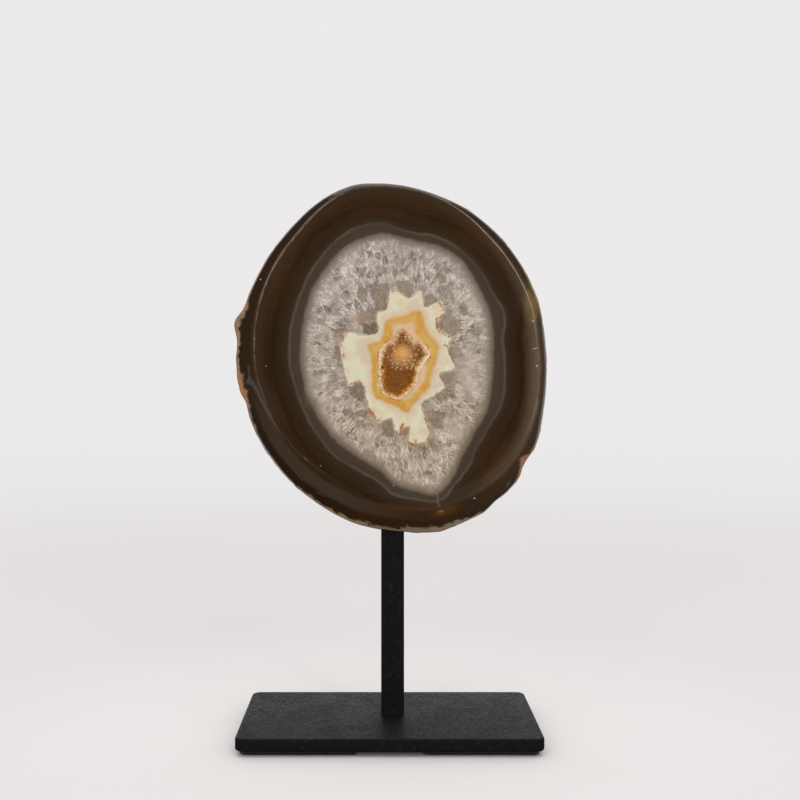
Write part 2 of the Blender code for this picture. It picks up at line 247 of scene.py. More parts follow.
def mark(tree, place, middle, size, turn, core=0.7):
    """1 in the core of an elongated mark of this half size, 0 outside it."""
    local = add(tree, "ShaderNodeMapping", {"Vector": place, "Location": middle, "Rotation": turn,
                                            "Scale": size}, vector_type="TEXTURE").outputs[0]
    return between(tree, vector_maths(tree, "LENGTH", local), 1.0, core)


def paint_finish():
    material, tree, shader = new_finish("satin_black_paint", 0.4)
    place = millimetres(tree)
    pebble = grain(tree, place, PAINT_PEBBLE, 2.0, 0.6)
    flow = grain(tree, place, PAINT_FLOW, 2.0)
    smudge = grain(tree, place, PAINT_SMUDGE, 3.0, 0.6, 0.6)
    black = tint(tree, pebble, linear(18, 19, 19), linear(26, 27, 26))
    specks = add(tree, "ShaderNodeTexVoronoi", {"Vector": place, "Scale": 1 / DUST_APART}).outputs
    chosen = add(tree, "ShaderNodeSeparateColor", {"Color": specks["Color"]}).outputs
    reach = between(tree, chosen["Red"], DUST_FREE, 1.0, 0.0, 0.055)
    dust = between(tree, maths(tree, "SUBTRACT", specks["Distance"], reach), 0.03, 0.0)
    dust = maths(tree, "MULTIPLY", dust, between(tree, chosen["Red"], DUST_FREE, 0.82))
    black = tint(tree, maths(tree, "MULTIPLY", dust, 0.55), black, linear(120, 118, 114))
    mottle = grain(tree, place, PAINT_MOTTLE, 2.0, 0.6)
    black = wash(tree, black, (32, 33, 32), mottle, 0.5, 0.7, 0.0, 0.6)
    for size, width, share in WORN_LINES:
        worn = grain(tree, place, size, 1.0, 0.5, 1.2)
        worn = maths(tree, "ABSOLUTE", maths(tree, "SUBTRACT", worn, 0.5))
        worn = maths(tree, "MULTIPLY", between(tree, worn, width, width / 3),
                     between(tree, grain(tree, place, size * 0.7, 1.0), 0.54, 0.62, 0.0, share))
        black = tint(tree, worn, black, linear(92, 94, 91))
    nick = mark(tree, place, (plate_low.x / MM + NICK[0], plate_low.y / MM + NICK[1],
                              plate_high.z / MM), NICK_SIZE, (0, 0, NICK_TURN))
    black = tint(tree, nick, black, linear(4, 4, 4))
    feed(tree, shader.inputs["Base Color"], black)
    sheen = maths(tree, "ADD", between(tree, smudge, 0.35, 0.7, 0.33, 0.41),
                  between(tree, mottle, 0.35, 0.65, 0.0, 0.16))
    feed(tree, shader.inputs["Roughness"], sheen)
    shader.inputs["Specular IOR Level"].default_value = 0.08
    skin = maths(tree, "MULTIPLY_ADD", flow, 0.9, maths(tree, "MULTIPLY", pebble, 0.7))
    feed(tree, shader.inputs["Normal"], bump(tree, skin, PEBBLE_DEPTH))
    return material


paint = paint_finish()
plate_middle = (plate_low + plate_high) / 2
profile = arc_edge(PLATE_EDGE, plate_low.z, False) + arc_edge(PLATE_EDGE, plate_high.z, True)
slab = rounded_slab(plate_high.x - plate_low.x, plate_high.y - plate_low.y, PLATE_CORNER,
                    profile, 14)
plate = piece_from("base_plate_painted", slab, paint, (plate_middle.x, plate_middle.y, 0), 50)
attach(plate, "root")
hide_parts("base_plate")

# Post.
# A length of 9.5 mm square steel bar, welded upright on the plate from below and painted with
# it. The paint rounds its edges a little and gathers in a thin fillet around its foot.
POST_EDGE = 0.6 * MM
FILLET = 0.45 * MM
FILLET_STEPS = 4
# How far the bar's end goes into the seat ground for it in the stone.
POST_IN_SEAT = 0.25 * MM

post_low, post_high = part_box("post")
post_middle = (post_low + post_high) / 2
fillet_profile = []
for step in range(FILLET_STEPS + 1):
    turn = math.pi / 2 * step / FILLET_STEPS
    fillet_profile.append((-FILLET * (1 - math.sin(turn)),
                           plate_high.z + FILLET * (1 - math.cos(turn))))
profile = fillet_profile + [(0.0, post_high.z + POST_IN_SEAT)]
slab = rounded_slab(post_high.x - post_low.x, post_high.y - post_low.y, POST_EDGE, profile, 4)
post = piece_from("post_painted", slab, paint, (post_middle.x, post_middle.y, 0), 50)
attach(post, "root")
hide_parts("post")

# Pin.
# A 5 mm steel dowel between the post and the stone. It is pushed in dry, is hidden by both,
# and keeps its turned finish with faint rings around it.
PIN_TURNING = 1.08


def turned_steel():
    material, tree, shader = new_finish("turned_steel", 0.3)
    place = millimetres(tree)
    height = add(tree, "ShaderNodeSeparateXYZ", {"Vector": place}).outputs["Z"]
    rings = add(tree, "ShaderNodeTexWave",
                {"Vector": place, "Scale": 1 / PIN_TURNING, "Distortion": 0.6},
                bands_direction="Z").outputs["Fac"]
    stain = between(tree, grain(tree, place, 3.0, 3.0), 0.5, 0.8)
    steel = tint(tree, stain, linear(178, 178, 180), linear(128, 122, 116))
    feed(tree, shader.inputs["Base Color"], steel)
    feed(tree, shader.inputs["Roughness"], between(tree, rings, 0.0, 1.0, 0.25, 0.4))
    feed(tree, shader.inputs["Normal"], bump(tree, maths(tree, "ADD", rings, height), 0.01))
    shader.inputs["Metallic"].default_value = 1.0
    return material


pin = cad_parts["pin"]
steel = turned_steel()
for place in pin.material_slots:
    place.material = steel

# Stone.
# Half an agate nodule, sawn through, its cut face ground flat and polished with a rolled
# shoulder. From the rough rind inwards it has brown chalcedony, grey bands, a pale line, white
# plumed quartz, and a cream and orange core around a small open pocket.
STONE_Z = 154.3
FACE_Y = -8.0
BACK_Y = 26.0
# Quads along each side of the square net of the back, and rings of points in front of it.
NET = 116
FACE_RINGS = 96
SHOULDER_RINGS = 14
SIDE_REACH = 6.5
SIDE_COUNT = 8
DOME_FULLNESS = 0.66
DOME_LAST = math.radians(56)
DOME_COUNT = 32
POLISH_RIM = 0.9
STONE_OUTLINE = [
    (64.8, -2), (63.8, 10), (62.0, 21.2), (58.4, 30.8), (53.3, 40.1), (46.9, 48.7),
    (39.3, 56.1), (31.8, 61.7), (23.2, 66.1), (13.5, 69.6), (4.0, 71.8), (-6.0, 72.5),
    (-16.0, 71.7), (-26.5, 67.1), (-35.1, 60.7), (-43.6, 51.8), (-51.2, 41.8), (-58.4, 28.0),
    (-62.8, 15.0), (-64.3, 2.6), (-64.2, -5.0), (-62.9, -13.7), (-56.1, -31.8), (-48.7, -43.6),
    (-40.1, -53.3), (-29.4, -61.4), (-16.8, -68.3), (-4.0, -71.5), (5.6, -72.6), (13.5, -72.9),
    (22.2, -71.8), (37.2, -65.3), (44.8, -59.5), (51.9, -52.3), (57.8, -43.2), (61.6, -33.6),
    (63.5, -23.0), (64.6, -12.0),
]
# How far inside the outline the shoulder catches the light, at these angles in degrees.
SHOULDER_LINE = [
    (20, 4.5), (50, 4.9), (75, 2.2), (106, 3.2), (125, 5.0), (148, 5.7), (160, 6.9), (175, 8.4),
    (195, 9.9), (219, 9.7), (241, 10.8), (252, 11.8), (284, 12.0), (297, 11.3), (320, 8.2),
    (343, 5.0),
]
# Where that line lies on the shoulder: 0 at its outer edge, 1 where the flat face starts.
LINE_SHARE = 0.767
# How brightly a painted highlight shows along that line, and how strongly a painted grey-brown
# reflection band lies outside it.
LINE_GLEAM = [(0, 0.25), (20, 0.8), (60, 0.7), (80, 0.2), (98, 0.3), (112, 1.0), (180, 0.85),
              (200, 0.4), (215, 0.15), (345, 0.1)]
SHOULDER_REFLECTION = [(190, 0), (204, 0.6), (220, 0.8), (250, 0.85), (264, 0.6), (276, 0.2), (300, 0)]
# How rusty the rind is along the rim.
RIM_RUST = [(0, 0.1), (150, 0.2), (164, 0.7), (180, 0.4), (194, 1.0), (203, 0.2), (208, 0.7),
            (214, 0.1), (244, 0.1), (253, 0.6), (264, 0.15), (285, 0.2), (300, 0.1), (322, 0.9),
            (338, 0.0)]
# How far the rind comes forward inside the outline, below 0 where polish covers the rim.
RIND_REACH = [
    (0, -2), (135, -2), (150, 0.3), (158, 1.4), (165, 3.8), (172, 2.2), (180, 1.6), (190, 3.2),
    (197, 2.8), (202, 0.7), (208, 1.7), (214, 0.1), (224, 0.0), (233, 1.3), (245, 1.6), (252, 2.3),
    (262, 2.6), (270, 2.0), (280, 3.4), (292, 3.0), (300, 1.2), (314, 0.4), (322, 4.2), (330, 0.2),
    (338, -2),
]
# A fresh break on the rim: across, up and how far it reaches.
FRESH_BREAK = (54.6, -37.6, 4.0)
# Where light comes golden through the thin edge: across, up, half width, half height, strength.
THIN_EDGE = (57.6, 23.0, 3.4, 8.5, 0.7)
# How strongly the stone turns olive towards the shoulder, partly its own colour where it thins and
# partly a painted reflection.
OLIVE_AND_REFLECTION = [
    (0, 1.0), (30, 0.5), (50, 0.22), (75, 0.15), (110, 0.1), (160, 0.12), (195, 0.15), (215, 0.0),
    (270, 0.0), (290, 0.15), (320, 0.5), (345, 0.85),
]
# Warmer patches in the brown: across, up, half width, half height and strength.
BROWN_GLOWS = [
    (-2.5, 60.0, 17, 5, 0.45), (33.0, 51.0, 9, 9, 0.45), (-54.0, 6.0, 4, 18, 0.12),
    (42.0, -43.0, 8, 12, 0.45), (2.0, -63.5, 26, 4, 0.75), (-45.0, 34.0, 7, 11, 0.35),
]
# The shoulder's depth every 45 degrees from the right.
SHOULDER_DEPTH = [4.5, 3.5, 3.0, 3.5, 5.0, 7.5, 8.0, 8.0]
# How far the side lies inside the outline, at these distances behind the shoulder.
SIDE_BEHIND = [0.0, 1.5, 4.0, 6.5]
SIDE_INSET = [0.9, 0.35, 0.0, 0.1]
# Lumps of the nodule: how long their waves are and how high.
LUMPS = [(34, 0.75), (21, 0.5), (13, 0.3)]
WAVES_PER_LUMP = 3
LUMP_SEED = 11
# Worn hollows in the back: across, up, radius and depth.
WORN_HOLLOWS = [(-24, 26, 21, 2.6), (30, -20, 19, 2.2), (12, 47, 15, 1.8), (-30, -34, 16, 1.6)]
# A knob and chips on the rim: degrees, how far outwards, and half width in degrees.
RIM_CHIPS = [(167.0, 2.4, 4.5), (197.0, -0.9, 4.0), (322.5, -1.9, 4.0), (306.0, -0.6, 3.5)]
CHIP_SHARPNESS = 1.4
# How late on the shoulder the chips begin.
CHIP_ONSET = 9
POCKET_MOUTH = [
    (15.7, 1.0), (14.9, 3.8), (11.7, 6.9), (8.0, 8.5), (4.4, 11.6), (1.6, 8.9), (-2.2, 6.0),
    (-4.6, 3.4), (-5.0, -1.4), (-4.8, -7.1), (-4.6, -12.0), (-2.8, -15.0), (0.8, -16.2),
    (4.4, -16.7), (7.3, -13.7), (10.4, -10.4), (11.3, -6.3), (13.3, -2.3),
]
POCKET_CENTRE = (5.0, -3.0)
POCKET_DEPTH = 13.0
# Small notches in the mouth: how deep, and how many go around it from which phase.
MOUTH_RAGGED = 0.5
MOUTH_NOTCHES = [(9, 0.4), (14, 2.0), (23, 4.1), (37, 1.3)]
POCKET_RINGS = 8
# How steeply the pocket's wall and its bottom curve, and how the face's rings widen outwards.
POCKET_WALL = 0.45
POCKET_BOTTOM = 0.9
FACE_SPREAD = 1.12
# No rind comes this near to the pocket's middle.
RIND_FREE = 20

# Zones of the polished face, as (across, up) from the stone's centre.
PALE_LINE = [
    (-5.1, 54.9), (8.3, 51.0), (15.6, 50.0), (23.9, 46.9), (32.2, 40.1), (37.4, 33.9),
    (40.5, 27.7), (44.6, 21.5), (46.2, 16.3), (45.2, 8.0), (46.2, -1.3), (45.7, -14.8),
    (42.6, -23.1), (34.3, -36.6), (32.2, -42.8), (26.0, -51.1), (19.8, -57.9), (10.4, -57.4),
    (1.1, -55.3), (-5.1, -50.1), (-13.4, -45.4), (-22.8, -39.7), (-31.1, -29.3), (-36.3, -19.0),
    (-40.4, -6.5), (-41.4, 3.8), (-40.4, 14.2), (-37.3, 24.6), (-32.1, 36.0), (-23.8, 46.4),
    (-15.5, 52.4),
]
QUARTZ_EDGE = [
    (-3.1, 51.0), (-13.4, 48.4), (-21.7, 43.3), (-29.0, 33.9), (-33.1, 26.6), (-35.7, 16.3),
    (-37.3, 3.8), (-36.3, -8.6), (-32.1, -20.0), (-25.9, -30.4), (-16.6, -38.7), (-5.1, -45.9),
    (2.1, -52.2), (11.5, -54.8), (17.7, -55.8), (23.9, -51.1), (29.1, -40.8), (34.3, -30.4),
    (39.5, -21.0), (41.6, -8.6), (42.0, 3.8), (41.6, 14.2), (39.5, 21.5), (34.3, 31.9),
    (29.1, 40.1), (21.8, 44.8), (13.5, 47.4), (5.2, 49.0),
]
CREAM_STAR = [
    (-0.2, 28.9), (0.2, 26.5), (2.7, 27.0), (6.7, 24.2), (9.6, 26.0), (12.1, 27.5),
    (13.0, 21.6), (14.5, 20.8), (17.5, 22.1), (20.9, 23.0), (21.4, 18.6), (18.5, 14.7),
    (18.9, 12.2), (23.9, 8.7), (22.9, 4.8), (24.4, -0.1), (25.9, -4.1), (20.4, -5.6),
    (19.5, -7.5), (21.9, -11.5), (18.0, -14.9), (12.6, -17.9), (12.6, -21.3), (14.5, -26.3),
    (15.5, -30.2), (14.0, -33.7), (9.6, -34.6), (7.2, -33.7), (7.6, -27.2), (2.7, -30.7),
    (0.2, -24.3), (-3.7, -25.8), (-5.7, -26.3), (-8.6, -20.8), (-10.1, -15.4), (-10.6, -11.9),
    (-14.0, -9.5), (-16.5, -11.5), (-18.5, -7.0), (-19.5, -2.6), (-20.5, 4.3), (-17.5, 10.2),
    (-11.6, 9.2), (-5.2, 10.7), (-5.7, 18.1), (-1.7, 20.1),
]
ORANGE_OUTSIDE = [
    (11.6, 18.8), (13.3, 15.6), (13.5, 12.2), (18.5, 5.8), (18.7, 0.3), (16.0, -7.5),
    (15.5, -11.5), (9.6, -17.9), (6.7, -21.6), (1.7, -19.3), (-3.2, -16.9), (-6.7, -14.9),
    (-7.6, -7.5), (-7.6, -0.1), (-9.1, 5.3), (-3.7, 7.7), (-1.7, 15.1), (4.7, 17.1), (9.1, 18.8),
]
ORANGE_INSIDE = [
    (9.1, 15.1), (9.6, 12.2), (11.6, 8.2), (15.5, 4.3), (16.0, 1.8), (14.5, -3.6),
    (13.5, -10.0), (9.1, -14.4), (5.2, -17.4), (-5.2, -12.4), (-5.4, -5.6), (-5.2, 1.4),
    (-4.2, 4.3), (-0.2, 8.7), (0.7, 13.2), (6.7, 14.7),
]
# Clear crystals that look darker than the plumes around them: a tone, 0 the darkest, and corners.
CLEAR_CRYSTALS = [
    (0.10, [(-11.9, 14.0), (-5.8, 15.2), (-5.0, 10.3), (-9.4, 9.1), (-11.5, 10.3)]),
    (0.55, [(-12.3, 18.9), (-5.8, 20.1), (-5.4, 15.2), (-11.9, 14.8)]),
    (0.45, [(-8.6, 29.9), (-1.3, 30.7), (-0.5, 23.8), (-1.3, 19.7), (-5.0, 19.7), (-7.0, 23.8)]),
    (0.45, [(-13.5, 28.6), (-9.8, 28.6), (-9.8, 24.2), (-11.9, 22.5), (-13.9, 25.0)]),
    (0.50, [(-13.9, 36.4), (-9.4, 37.0), (-11.6, 33.1)]),
    (0.45, [(-3.9, 37.6), (-1.5, 36.8), (-2.1, 32.7)]),
    (0.55, [(0.7, 37.6), (2.8, 35.6), (1.5, 32.3), (0.3, 34.3)]),
    (0.50, [(4.0, 36.2), (7.4, 36.8), (6.6, 32.7)]),
    (0.35, [(-19.2, 21.7), (-15.9, 22.9), (-16.8, 19.7)]),
    (0.15, [(-27.3, 21.3), (-24.1, 20.5), (-24.9, 18.5), (-26.9, 19.3)]),
    (0.60, [(1.5, 30.7), (5.2, 31.9), (9.3, 29.9), (8.9, 25.4), (6.4, 24.2), (3.2, 27.0)]),
    (0.50, [(13.3, 25.4), (16.2, 26.6), (18.6, 23.8), (16.6, 21.3), (13.7, 21.3)]),
    (0.65, [(18.2, 14.8), (21.1, 17.3), (25.9, 16.8), (28.8, 13.6), (26.3, 9.9), (23.5, 8.7),
            (19.8, 10.3)]),
    (0.60, [(22.7, 5.5), (24.7, 2.6), (26.8, -3.5), (24.7, -2.3), (23.1, 1.4)]),
    (0.55, [(19.4, -5.9), (22.3, -4.3), (25.1, -5.1), (27.2, -8.0), (25.9, -12.0), (23.1, -12.4),
            (21.1, -10.0)]),
    (0.60, [(17.4, -14.9), (20.7, -13.6), (23.1, -15.3), (20.2, -17.3)]),
    (0.80, [(12.1, -18.5), (15.0, -17.3), (17.4, -18.9), (16.2, -21.8), (12.9, -21.8)]),
    (0.50, [(16.2, -21.4), (19.0, -21.0), (21.1, -24.2), (19.8, -28.7), (17.0, -27.9)]),
    (0.40, [(-3.7, -26.7), (-1.7, -24.2), (0.7, -25.0), (1.5, -29.9), (-0.9, -31.9),
            (-3.3, -30.3)]),
    (0.45, [(2.4, -29.1), (5.2, -26.7), (7.6, -27.9), (6.8, -31.1), (4.0, -31.5)]),
    (0.35, [(-17.2, -12.0), (-13.9, -9.2), (-11.1, -10.8), (-10.2, -14.5), (-12.7, -16.9),
            (-15.9, -15.7)]),
    (0.50, [(-10.7, -15.7), (-8.2, -15.3), (-6.6, -18.1), (-9.0, -19.7)]),
    (0.35, [(-15.9, -21.8), (-11.9, -20.6), (-8.6, -21.8), (-11.1, -24.2), (-14.7, -23.8)]),
    (0.35, [(-20.4, -21.4), (-17.6, -20.2), (-15.9, -22.2), (-18.8, -23.4)]),
    (0.45, [(-22.4, 5.1), (-20.4, 4.7), (-19.6, 0.2), (-21.6, -1.0), (-23.3, 1.8)]),
    (0.50, [(18.6, 34.7), (22.3, 33.9), (22.3, 30.7), (19.4, 31.1)]),
    (0.35, [(28.0, 21.3), (30.8, 20.5), (30.4, 17.7), (28.0, 18.1)]),
    (0.45, [(-24.5, 11.6), (-18.8, 12.8), (-15.9, 11.2), (-20.8, 10.3)]),
]
# Rust that has crept in along the crystals' edges.
RUST_LINES = [
    [(-9.0, -20.6), (-6.6, -23.8), (-4.6, -26.3), (-2.9, -25.4)],
    [(13.3, -21.8), (14.6, -27.1), (15.4, -29.1)],
    [(6.8, -33.2), (8.0, -35.6), (9.7, -34.8), (10.5, -33.2)],
    [(12.5, -34.4), (13.7, -36.4), (14.1, -38.0)],
    [(19.8, 22.9), (21.1, 20.5), (20.7, 17.3), (18.6, 15.6), (18.6, 12.4), (21.1, 9.9),
     (23.9, 8.7)],
    [(-0.1, 29.5), (1.1, 29.5)],
    [(13.7, 21.7), (14.6, 20.9)],
    [(-12.3, 18.9), (-12.3, 16.4), (-12.7, 13.6)],
    [(-16.8, 13.6), (-15.9, 12.4)],
    [(-20.4, 9.5), (-19.6, 7.1)],
    [(21.9, 6.3), (23.9, 2.6), (26.3, -3.9)],
    [(-19.6, 5.1), (-19.2, 0.2)],
    [(-15.9, -10.4), (-13.5, -9.2), (-11.9, -10.0)],
    [(4.8, -26.7), (3.6, -29.9)],
]
# The feeding tube through the bands at the foot of the quartz.
TUBE = [(17.5, -53.0), (18.9, -55.6), (18.7, -57.8), (19.8, -60.4)]
# Stains, specks, scratches and two painted highlights on the polished face: across, up, half
# length, half width, turn in degrees, how much of it is its core, strength and colour.
FACE_MARKS = [
    (5.4, -29.2, 2.9, 2.3, 20, 0.1, 0.75, (168, 124, 72)),
    (4.4, -27.4, 1.3, 0.25, 70, 0.5, 0.6, (110, 66, 32)),
    (-12.4, 15.4, 3.6, 2.0, 0, 0.1, 0.55, (176, 128, 102)),
    (-7.8, -22.4, 2.6, 1.1, -50, 0.1, 0.65, (186, 104, 48)),
    (-5.0, -25.4, 1.4, 1.1, 0, 0.1, 0.6, (176, 96, 44)),
    (13.4, -36.8, 1.7, 1.0, -50, 0.2, 0.7, (142, 82, 42)),
    (16.6, -31.6, 2.4, 1.6, 60, 0.0, 0.5, (208, 160, 128)),
    (25.3, 7.8, 1.1, 0.6, -20, 0.3, 0.6, (178, 182, 84)),
    (22.5, -62.0, 9.0, 3.4, 20, 0.0, 0.55, (96, 62, 26)),
    (19.8, -62.9, 3.0, 1.3, 5, 0.0, 0.35, (146, 90, 42)),
    # A painted highlight: a small bright streak on the amber patch.
    (20.4, -62.2, 1.5, 0.22, 12, 0.5, 0.6, (190, 148, 92)),
    (15.9, -52.4, 1.7, 0.2, 35, 0.4, 0.6, (196, 180, 158)),
    (16.8, -54.3, 1.1, 0.18, 15, 0.4, 0.6, (190, 172, 150)),
    (1.1, -51.7, 0.7, 0.2, 50, 0.4, 0.6, (200, 188, 168)),
    (32.0, -8.0, 9.0, 14.0, 0, 0.0, 0.5, (212, 199, 184)),
    (-50.0, 2.0, 7.0, 25.0, 0, 0.0, 0.35, (36, 25, 15)),
    (-2.0, -62.5, 16.0, 4.5, 0, 0.0, 0.5, (72, 46, 21)),
    (26.0, -28.0, 7.0, 9.0, 25, 0.0, 0.30, (192, 178, 160)),
    (-31.5, -10.0, 4.5, 13.0, -12, 0.0, 0.30, (180, 166, 150)),
    (33.0, 24.0, 5.5, 11.0, 25, 0.0, 0.25, (176, 164, 150)),
    (5.0, 42.0, 11.0, 5.0, 0, 0.0, 0.32, (116, 110, 101)),
    (-34.8, -40.9, 1.9, 0.5, -52, 0.0, 0.6, (104, 92, 78)),
    (-37.5, -48.4, 3.5, 0.13, -53, 0.3, 0.4, (140, 130, 116)),
    (-29.1, -55.4, 3.6, 0.12, -30, 0.3, 0.4, (140, 130, 116)),
    (58.5, 4.0, 1.9, 0.25, 18, 0.3, 0.6, (196, 186, 168)),
    (59.3, -3.1, 0.6, 0.45, 40, 0.3, 0.8, (206, 196, 178)),
    (57.7, 15.2, 0.5, 0.5, 0, 0.3, 0.8, (216, 196, 140)),
    (-53.2, 32.2, 0.5, 0.35, 90, 0.3, 0.8, (206, 198, 182)),
    (-50.8, -3.2, 0.35, 0.3, 0, 0.3, 0.7, (196, 188, 172)),
    (33.9, -57.0, 0.5, 0.4, 45, 0.3, 0.8, (210, 202, 188)),
    # A painted highlight on the rough rim.
    (47.9, -51.6, 2.4, 0.3, 62, 0.1, 0.5, (150, 142, 130)),
    (-27.9, 24.6, 0.4, 0.3, 0, 0.3, 0.6, (200, 192, 178)),
]
# The quartz grows from this middle and is about this far across. Its fibres are this many
# times as long as wide, and its plumes curl by about this much.
QUARTZ_MIDDLE = (3.0, -2.0)
QUARTZ_RADIUS = 32.0
FIBRE_LENGTH = 10
PLUME_CURL = 2.4
PLUME_CURL_SIZE = 2.6
# How long each straight bit of a rust vein is, and how far it bends aside.
VEIN_STEP = 0.6
VEIN_BEND = 0.26
VEIN_SEED = 7
SPECK_APART = 9.0
RUSTY_REACH = 14.0
# The ragged border between polish and rind: sizes of its bays and teeth, how deep and how soft
# it is, and how near to it they start.
BORDER_BAY = 2.6
BORDER_TOOTH = 0.9
BORDER_DEPTH = 1.1
BORDER_SOFT = 0.8
BORDER_REACH = 3.5
# The rind's lumps: size, depth, gain, and the noise's roughness, step and layers.
SKIN_LUMP = 5.5
SKIN_DEPTH = 0.8
SKIN_GAIN = 1.4
SKIN_NOISE = (0.8, 2.1, 4)
# The rind keeps the outline whole up to this far behind the face.
RIM_KEPT = 9.0
# How far apart pits of two sizes lie, how wide they may be against that, and how deep.
SMALL_PIT = 2.1
LARGE_PIT = 5.3
PIT_REACH = 0.6
PIT_DEPTH = 1.1
PIT_DRAW = 9.0
# The seat for the post: how much wider and deeper than its top, and the cutting block's height.
SEAT_PLAY = 0.1 * MM
SEAT_DEPTH = 0.3 * MM
CUTTER_HEIGHT = 10 * MM


def closed_curve(points, steps):
    """Points on a smooth closed curve through the given points, with this many for each."""
    corners = np.array(points, dtype=float)
    t = np.arange(steps)[:, None] / steps
    spans = []
    for first in range(len(corners)):
        a, b, c, d = (corners[(first + k) % len(corners)] for k in (-1, 0, 1, 2))
        spans.append(0.5 * (2 * b + (c - a) * t + (2 * a - 5 * b + 4 * c - d) * t ** 2
                            + (3 * b - a - 3 * c + d) * t ** 3))
    return np.concatenate(spans)


def radius_by_angle(points, centre):
    """A function that gives the outline's distance from the centre at any angles."""
    curve = closed_curve(points, 20) - np.array(centre)
    angles = np.arctan2(curve[:, 1], curve[:, 0])
    order = np.argsort(angles)
    radii = np.hypot(curve[:, 0], curve[:, 1])[order]
    angles = angles[order]
    return lambda angle: np.interp((angle + np.pi) % (2 * np.pi) - np.pi, angles, radii,
                                   period=2 * np.pi)


def around_rim(values, angle):
    """Smooth values at these angles from eight values spaced 45 degrees apart."""
    values = np.array(values)
    place = (angle / math.radians(45)) % len(values)
    first = place.astype(int) % len(values)
    t = place - np.floor(place)
    ease = t * t * (3 - 2 * t)
    return values[first] + (values[(first + 1) % len(values)] - values[first]) * ease


def around(table, angle):
    """Smooth values at these angles from (degrees, value) pairs around the rim."""
    degrees, values = np.array(table).T
    fine = np.arange(0, 360, 2.0)
    curve = np.interp(fine, degrees, values, period=360)
    weights = np.array([1, 3, 5, 6, 5, 3, 1]) / 24
    curve = sum(weight * np.roll(curve, k - 3) for k, weight in enumerate(weights))
    return np.interp(np.degrees(angle), fine, curve, period=360)


def shoulder_width(angle):
    """Width of the rolled shoulder at these angles, from where it catches the light."""
    return POLISH_RIM + (around(SHOULDER_LINE, angle) - POLISH_RIM) / LINE_SHARE


def rim_chip(angle):
    """Outward offset of the rim where it is chipped or a knob stands out."""
    total = np.zeros_like(angle)
    for degrees, outward, half_width in RIM_CHIPS:
        off = (np.degrees(angle) - degrees + 180) % 360 - 180
        total += outward * np.exp(-(off / half_width) ** 2 * CHIP_SHARPNESS)
    return total


def lump_waves():
    """Directions, heights and phases of the waves that make the nodule's lumps."""
    draw = np.random.default_rng(LUMP_SEED)
    waves = []
    for length, height in LUMPS:
        for _ in range(WAVES_PER_LUMP):
            direction = draw.normal(size=3)
            direction /= np.linalg.norm(direction)
            phase = draw.uniform(0, 2 * math.pi)
            waves.append((direction * (2 * math.pi / length), height, phase))
    return waves


def skin_height(points, waves):
    """How far the nodule's skin stands out at points given from the stone's centre."""
    height = sum(rise * np.sin(points @ direction + phase) for direction, rise, phase in waves)
    for across, up, radius, depth in WORN_HOLLOWS:
        off = np.hypot(points[:, 0] - across, points[:, 2] - up) / radius
        height = height - depth * np.exp(-2 * off * off)
    return height


def mouth_radius(bearing):
    """The pocket's mouth with small ragged notches, for the stone and its lining alike."""
    ragged = sum(np.sin(bearing * count + phase) / count ** 0.5
                 for count, phase in MOUTH_NOTCHES)
    return radius_by_angle(POCKET_MOUTH, POCKET_CENTRE)(bearing) + MOUTH_RAGGED * ragged


def mouth_loop(count):
    """The mouth as (across, up) points, an even turn apart."""
    bearing = 2 * np.pi * np.arange(count) / count
    outward = np.stack([np.cos(bearing), np.sin(bearing)], axis=1)
    return np.array(POCKET_CENTRE) + outward * mouth_radius(bearing)[:, None]


def on_ring(radius, angle, y):
    return np.stack([radius * np.cos(angle), y, radius * np.sin(angle)], axis=1)


def dome_points(angle, turn, outline, waves):
    """Points of the back: turn 0 is the side's last ring, a quarter turn the middle."""
    start_y = FACE_Y + around_rim(SHOULDER_DEPTH, angle) + SIDE_REACH
    rim = outline(angle) - SIDE_INSET[-1] + rim_chip(angle)
    turn = np.broadcast_to(turn, angle.shape)
    smooth = on_ring(rim * np.cos(turn) ** DOME_FULLNESS, angle,
                     start_y + (BACK_Y - start_y) * np.sin(turn))
    outward = np.stack([np.cos(angle) * np.cos(turn), np.sin(turn),
                        np.sin(angle) * np.cos(turn)], axis=1)
    return smooth + outward * (skin_height(smooth, waves) * np.sin(turn) ** 0.5)[:, None]


